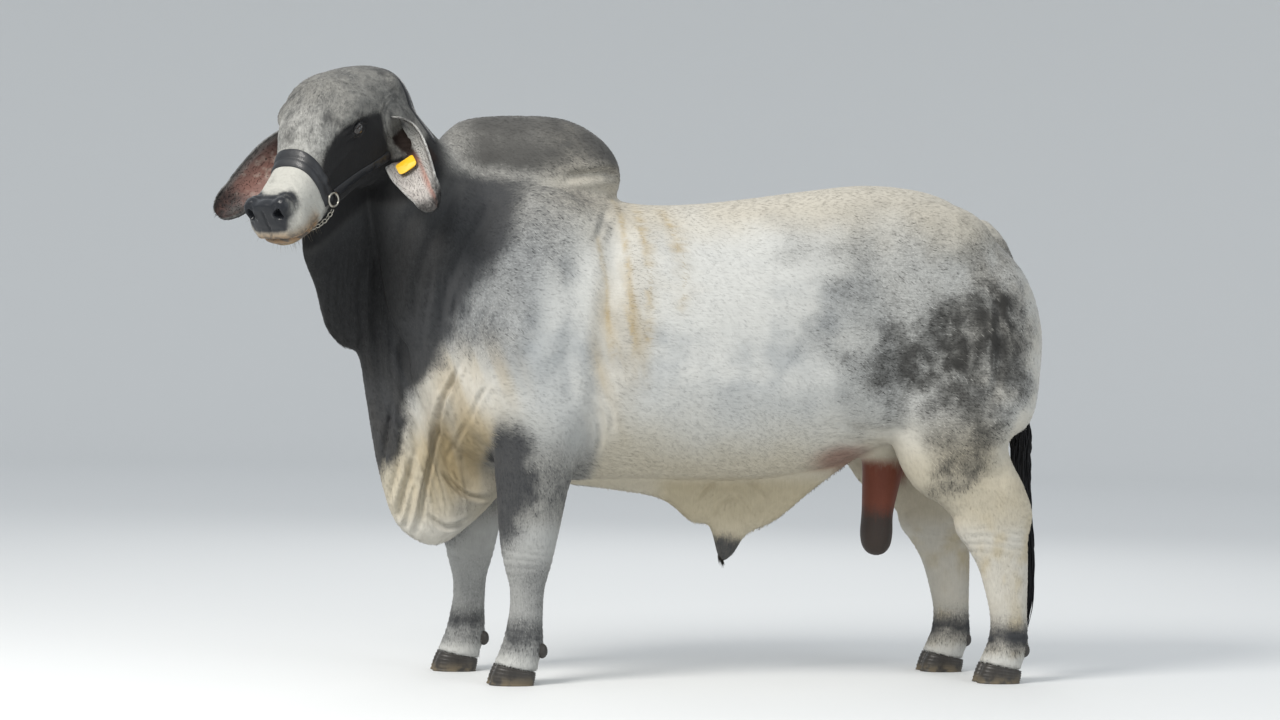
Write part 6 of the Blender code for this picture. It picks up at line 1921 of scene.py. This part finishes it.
def lashes():
    spots, ways, lengths = [], [], []
    for side in sides:
        along, up, out = eyeAxes(side)
        centre = np.array(eyeCentre(side))
        for edge, count, size, sign in longHair["lashes"]:
            for k in range(count):
                x = eye["half"] * (-0.92 + 1.84 * (k + chance.random()) / count)
                level = float(opening(np.array([x]))[edge][0]) + sign * 0.0012
                flat = math.hypot(x, level)
                reach = eye["radius"] + eye["lid"] * 1.2
                deep = math.sqrt(max(reach**2 - flat**2, 1e-6))
                spots.append(centre + along * x + up * level + out * deep)
                aim = out + up * (0.35 * sign) + along * (x / eye["half"]) * 0.45
                aim = aim + 0.12 * (chance.random(3) - 0.5)
                ways.append(aim / np.linalg.norm(aim))
                lengths.append(size * (0.7 + 0.5 * chance.random()))
    spots, ways, lengths = np.array(spots), np.array(ways), np.array(lengths)
    return tippedLocks("lashes", spots, ways, lengths, 0.00045, (0, 0, -0.35), linear((26, 24, 24)))


def sheathHair():
    count = longHair["sheath"]
    base = np.stack([0.262 + 0.016 * (chance.random(count) - 0.5), 0.02 * (chance.random(count) - 0.5),
                     np.full(count, 0.6)], axis=1)
    spots = []
    for spot in base:
        hit = skinTree.ray_cast(Vector((spot[0], spot[1], 0.2)), Vector((0, 0, 1)))[0]
        spots.append(tuple(hit) if hit else tuple(spot))
    spots = np.array(spots)
    ways = unit(np.array([0.15, 0, -1.0]) + 0.7 * (chance.random((count, 3)) - 0.5))
    lengths = 0.008 + 0.01 * chance.random(count)
    return tippedLocks("sheathHair", spots + np.array([0, 0, 0.002]), ways, lengths, 0.0008,
                       (0.1, 0, -0.5), linear((40, 36, 30)))


def whiskers():
    # Stiff hairs of the muzzle and chin
    count = longHair["whiskers"]
    f = 0.47 + 0.11 * chance.random(count)
    turn = np.radians(70 + 220 * chance.random(count))
    spots = np.array([tuple(aroundHead(a, -0.045, b, -0.001, headTree)) for a, b in zip(f.tolist(), turn.tolist())])
    ways = np.outer(np.cos(turn), crownWay) + np.outer(np.sin(turn), cheekWay)
    ways = ways + np.outer(np.full(count, 0.35), faceWay)
    ways = unit(ways + 0.3 * (chance.random((count, 3)) - 0.5))
    return tippedLocks("whiskers", spots, ways, 0.01 + 0.016 * chance.random(count), 0.00035, (0, 0, -0.4),
                       linear((120, 112, 98)), 5)


for side in sides:
    earTufts(side)
addPiece("switch_hair", tailLocks(), "hair", "tail_switch", material=fur)
addPiece("lashes", lashes(), "hair", material=fur)
addPiece("sheath_hair", sheathHair(), "hair", material=fur)
addPiece("whiskers", whiskers(), "hair", material=fur)
print("long hair made")

skinPiece = addPiece("skin", skinBody, "hide", *flesh, material=hide)
print("skin placed")


# Floor, light and camera
studio = {"floor": (0.72, 0.73, 0.73), "floorReach": 17, "bend": 5, "wallTop": 5.6, "steps": 96,
          "world": (0.86, 0.9, 0.94), "worldStrength": 0.78, "aim": (0, 0, 0.9),
          "lights": (("key", (-4.5, -3.5, 5.5), 3.0, 500, (1.0, 0.97, 0.92)),
                     ("fill", (4.5, -6.0, 3.0), 5.0, 90, (0.92, 0.96, 1.0)),
                     ("rim", (2.0, 6.0, 4.5), 3.5, 60, (1.0, 0.98, 0.95))), "lens": 84.375, "sensor": 36,
          "distance": 9.0, "height": 0.95, "yaw": 12.0, "roll": 1.2}


def addFloor():
    # A round pale floor that curves up all round into a low wall
    turns = np.radians(np.linspace(0, 90, 14)).tolist()
    reach, bend, steps = studio["floorReach"], studio["bend"], studio["steps"]
    profile = [(reach + bend * math.sin(a), bend - bend * math.cos(a)) for a in turns]
    profile.append((reach + bend, studio["wallTop"]))
    bm = bmesh.new()
    centre = bm.verts.new((0, 0, 0))
    rows = [[bm.verts.new((r * math.cos(a), r * math.sin(a), z))
             for a in np.linspace(0, 2 * np.pi, steps, endpoint=False).tolist()] for r, z in profile]
    for k in range(steps):
        n = (k + 1) % steps
        bm.faces.new((centre, rows[0][k], rows[0][n]))
        for a, b in zip(rows, rows[1:]):
            bm.faces.new((a[k], b[k], b[n], a[n]))
    floor = placed("floor", meshFrom(bm))
    floor.data.shade_smooth()
    material, tree, shader = newMaterial("floorPaint")
    plug(tree, shader, {"Base Color": (*studio["floor"], 1), "Roughness": 0.9})
    floor.data.materials.append(material)


def addLight(name, place, size, power, colour):
    data = bpy.data.lights.new(name, "AREA")
    data.shape = "DISK"
    data.size = size
    data.energy = power
    data.color = colour
    made = placed(name, data)
    made.location = place
    made.rotation_euler = (Vector(studio["aim"]) - Vector(place)).to_track_quat("-Z", "Y").to_euler()


def addCamera():
    yaw = math.radians(studio["yaw"])
    roll = math.radians(studio["roll"])
    ahead = Vector((math.sin(yaw), math.cos(yaw), 0))
    right = Vector((math.cos(yaw), -math.sin(yaw), 0))
    up = Vector((0, 0, 1))
    place = Vector((shift.x, shift.y, shift.z + studio["height"])) - ahead * studio["distance"]
    tilted = right * math.cos(roll) + up * math.sin(roll)
    data = bpy.data.cameras.new("camera")
    data.lens = studio["lens"]
    data.sensor_width = studio["sensor"]
    made = placed("camera", data)
    axes = Matrix((tilted, ahead.cross(-tilted), -ahead)).transposed().to_4x4()
    made.matrix_world = Matrix.Translation(place) @ axes
    bpy.context.scene.camera = made


addFloor()
for settings in studio["lights"]:
    addLight(*settings)
world = bpy.data.worlds.new("studio")
world.use_nodes = True
plug(world.node_tree, world.node_tree.nodes["Background"],
     {"Color": (*studio["world"], 1), "Strength": studio["worldStrength"]})
bpy.context.scene.world = world
bpy.context.scene.view_settings.view_transform = "Standard"
addCamera()
print("stage set")
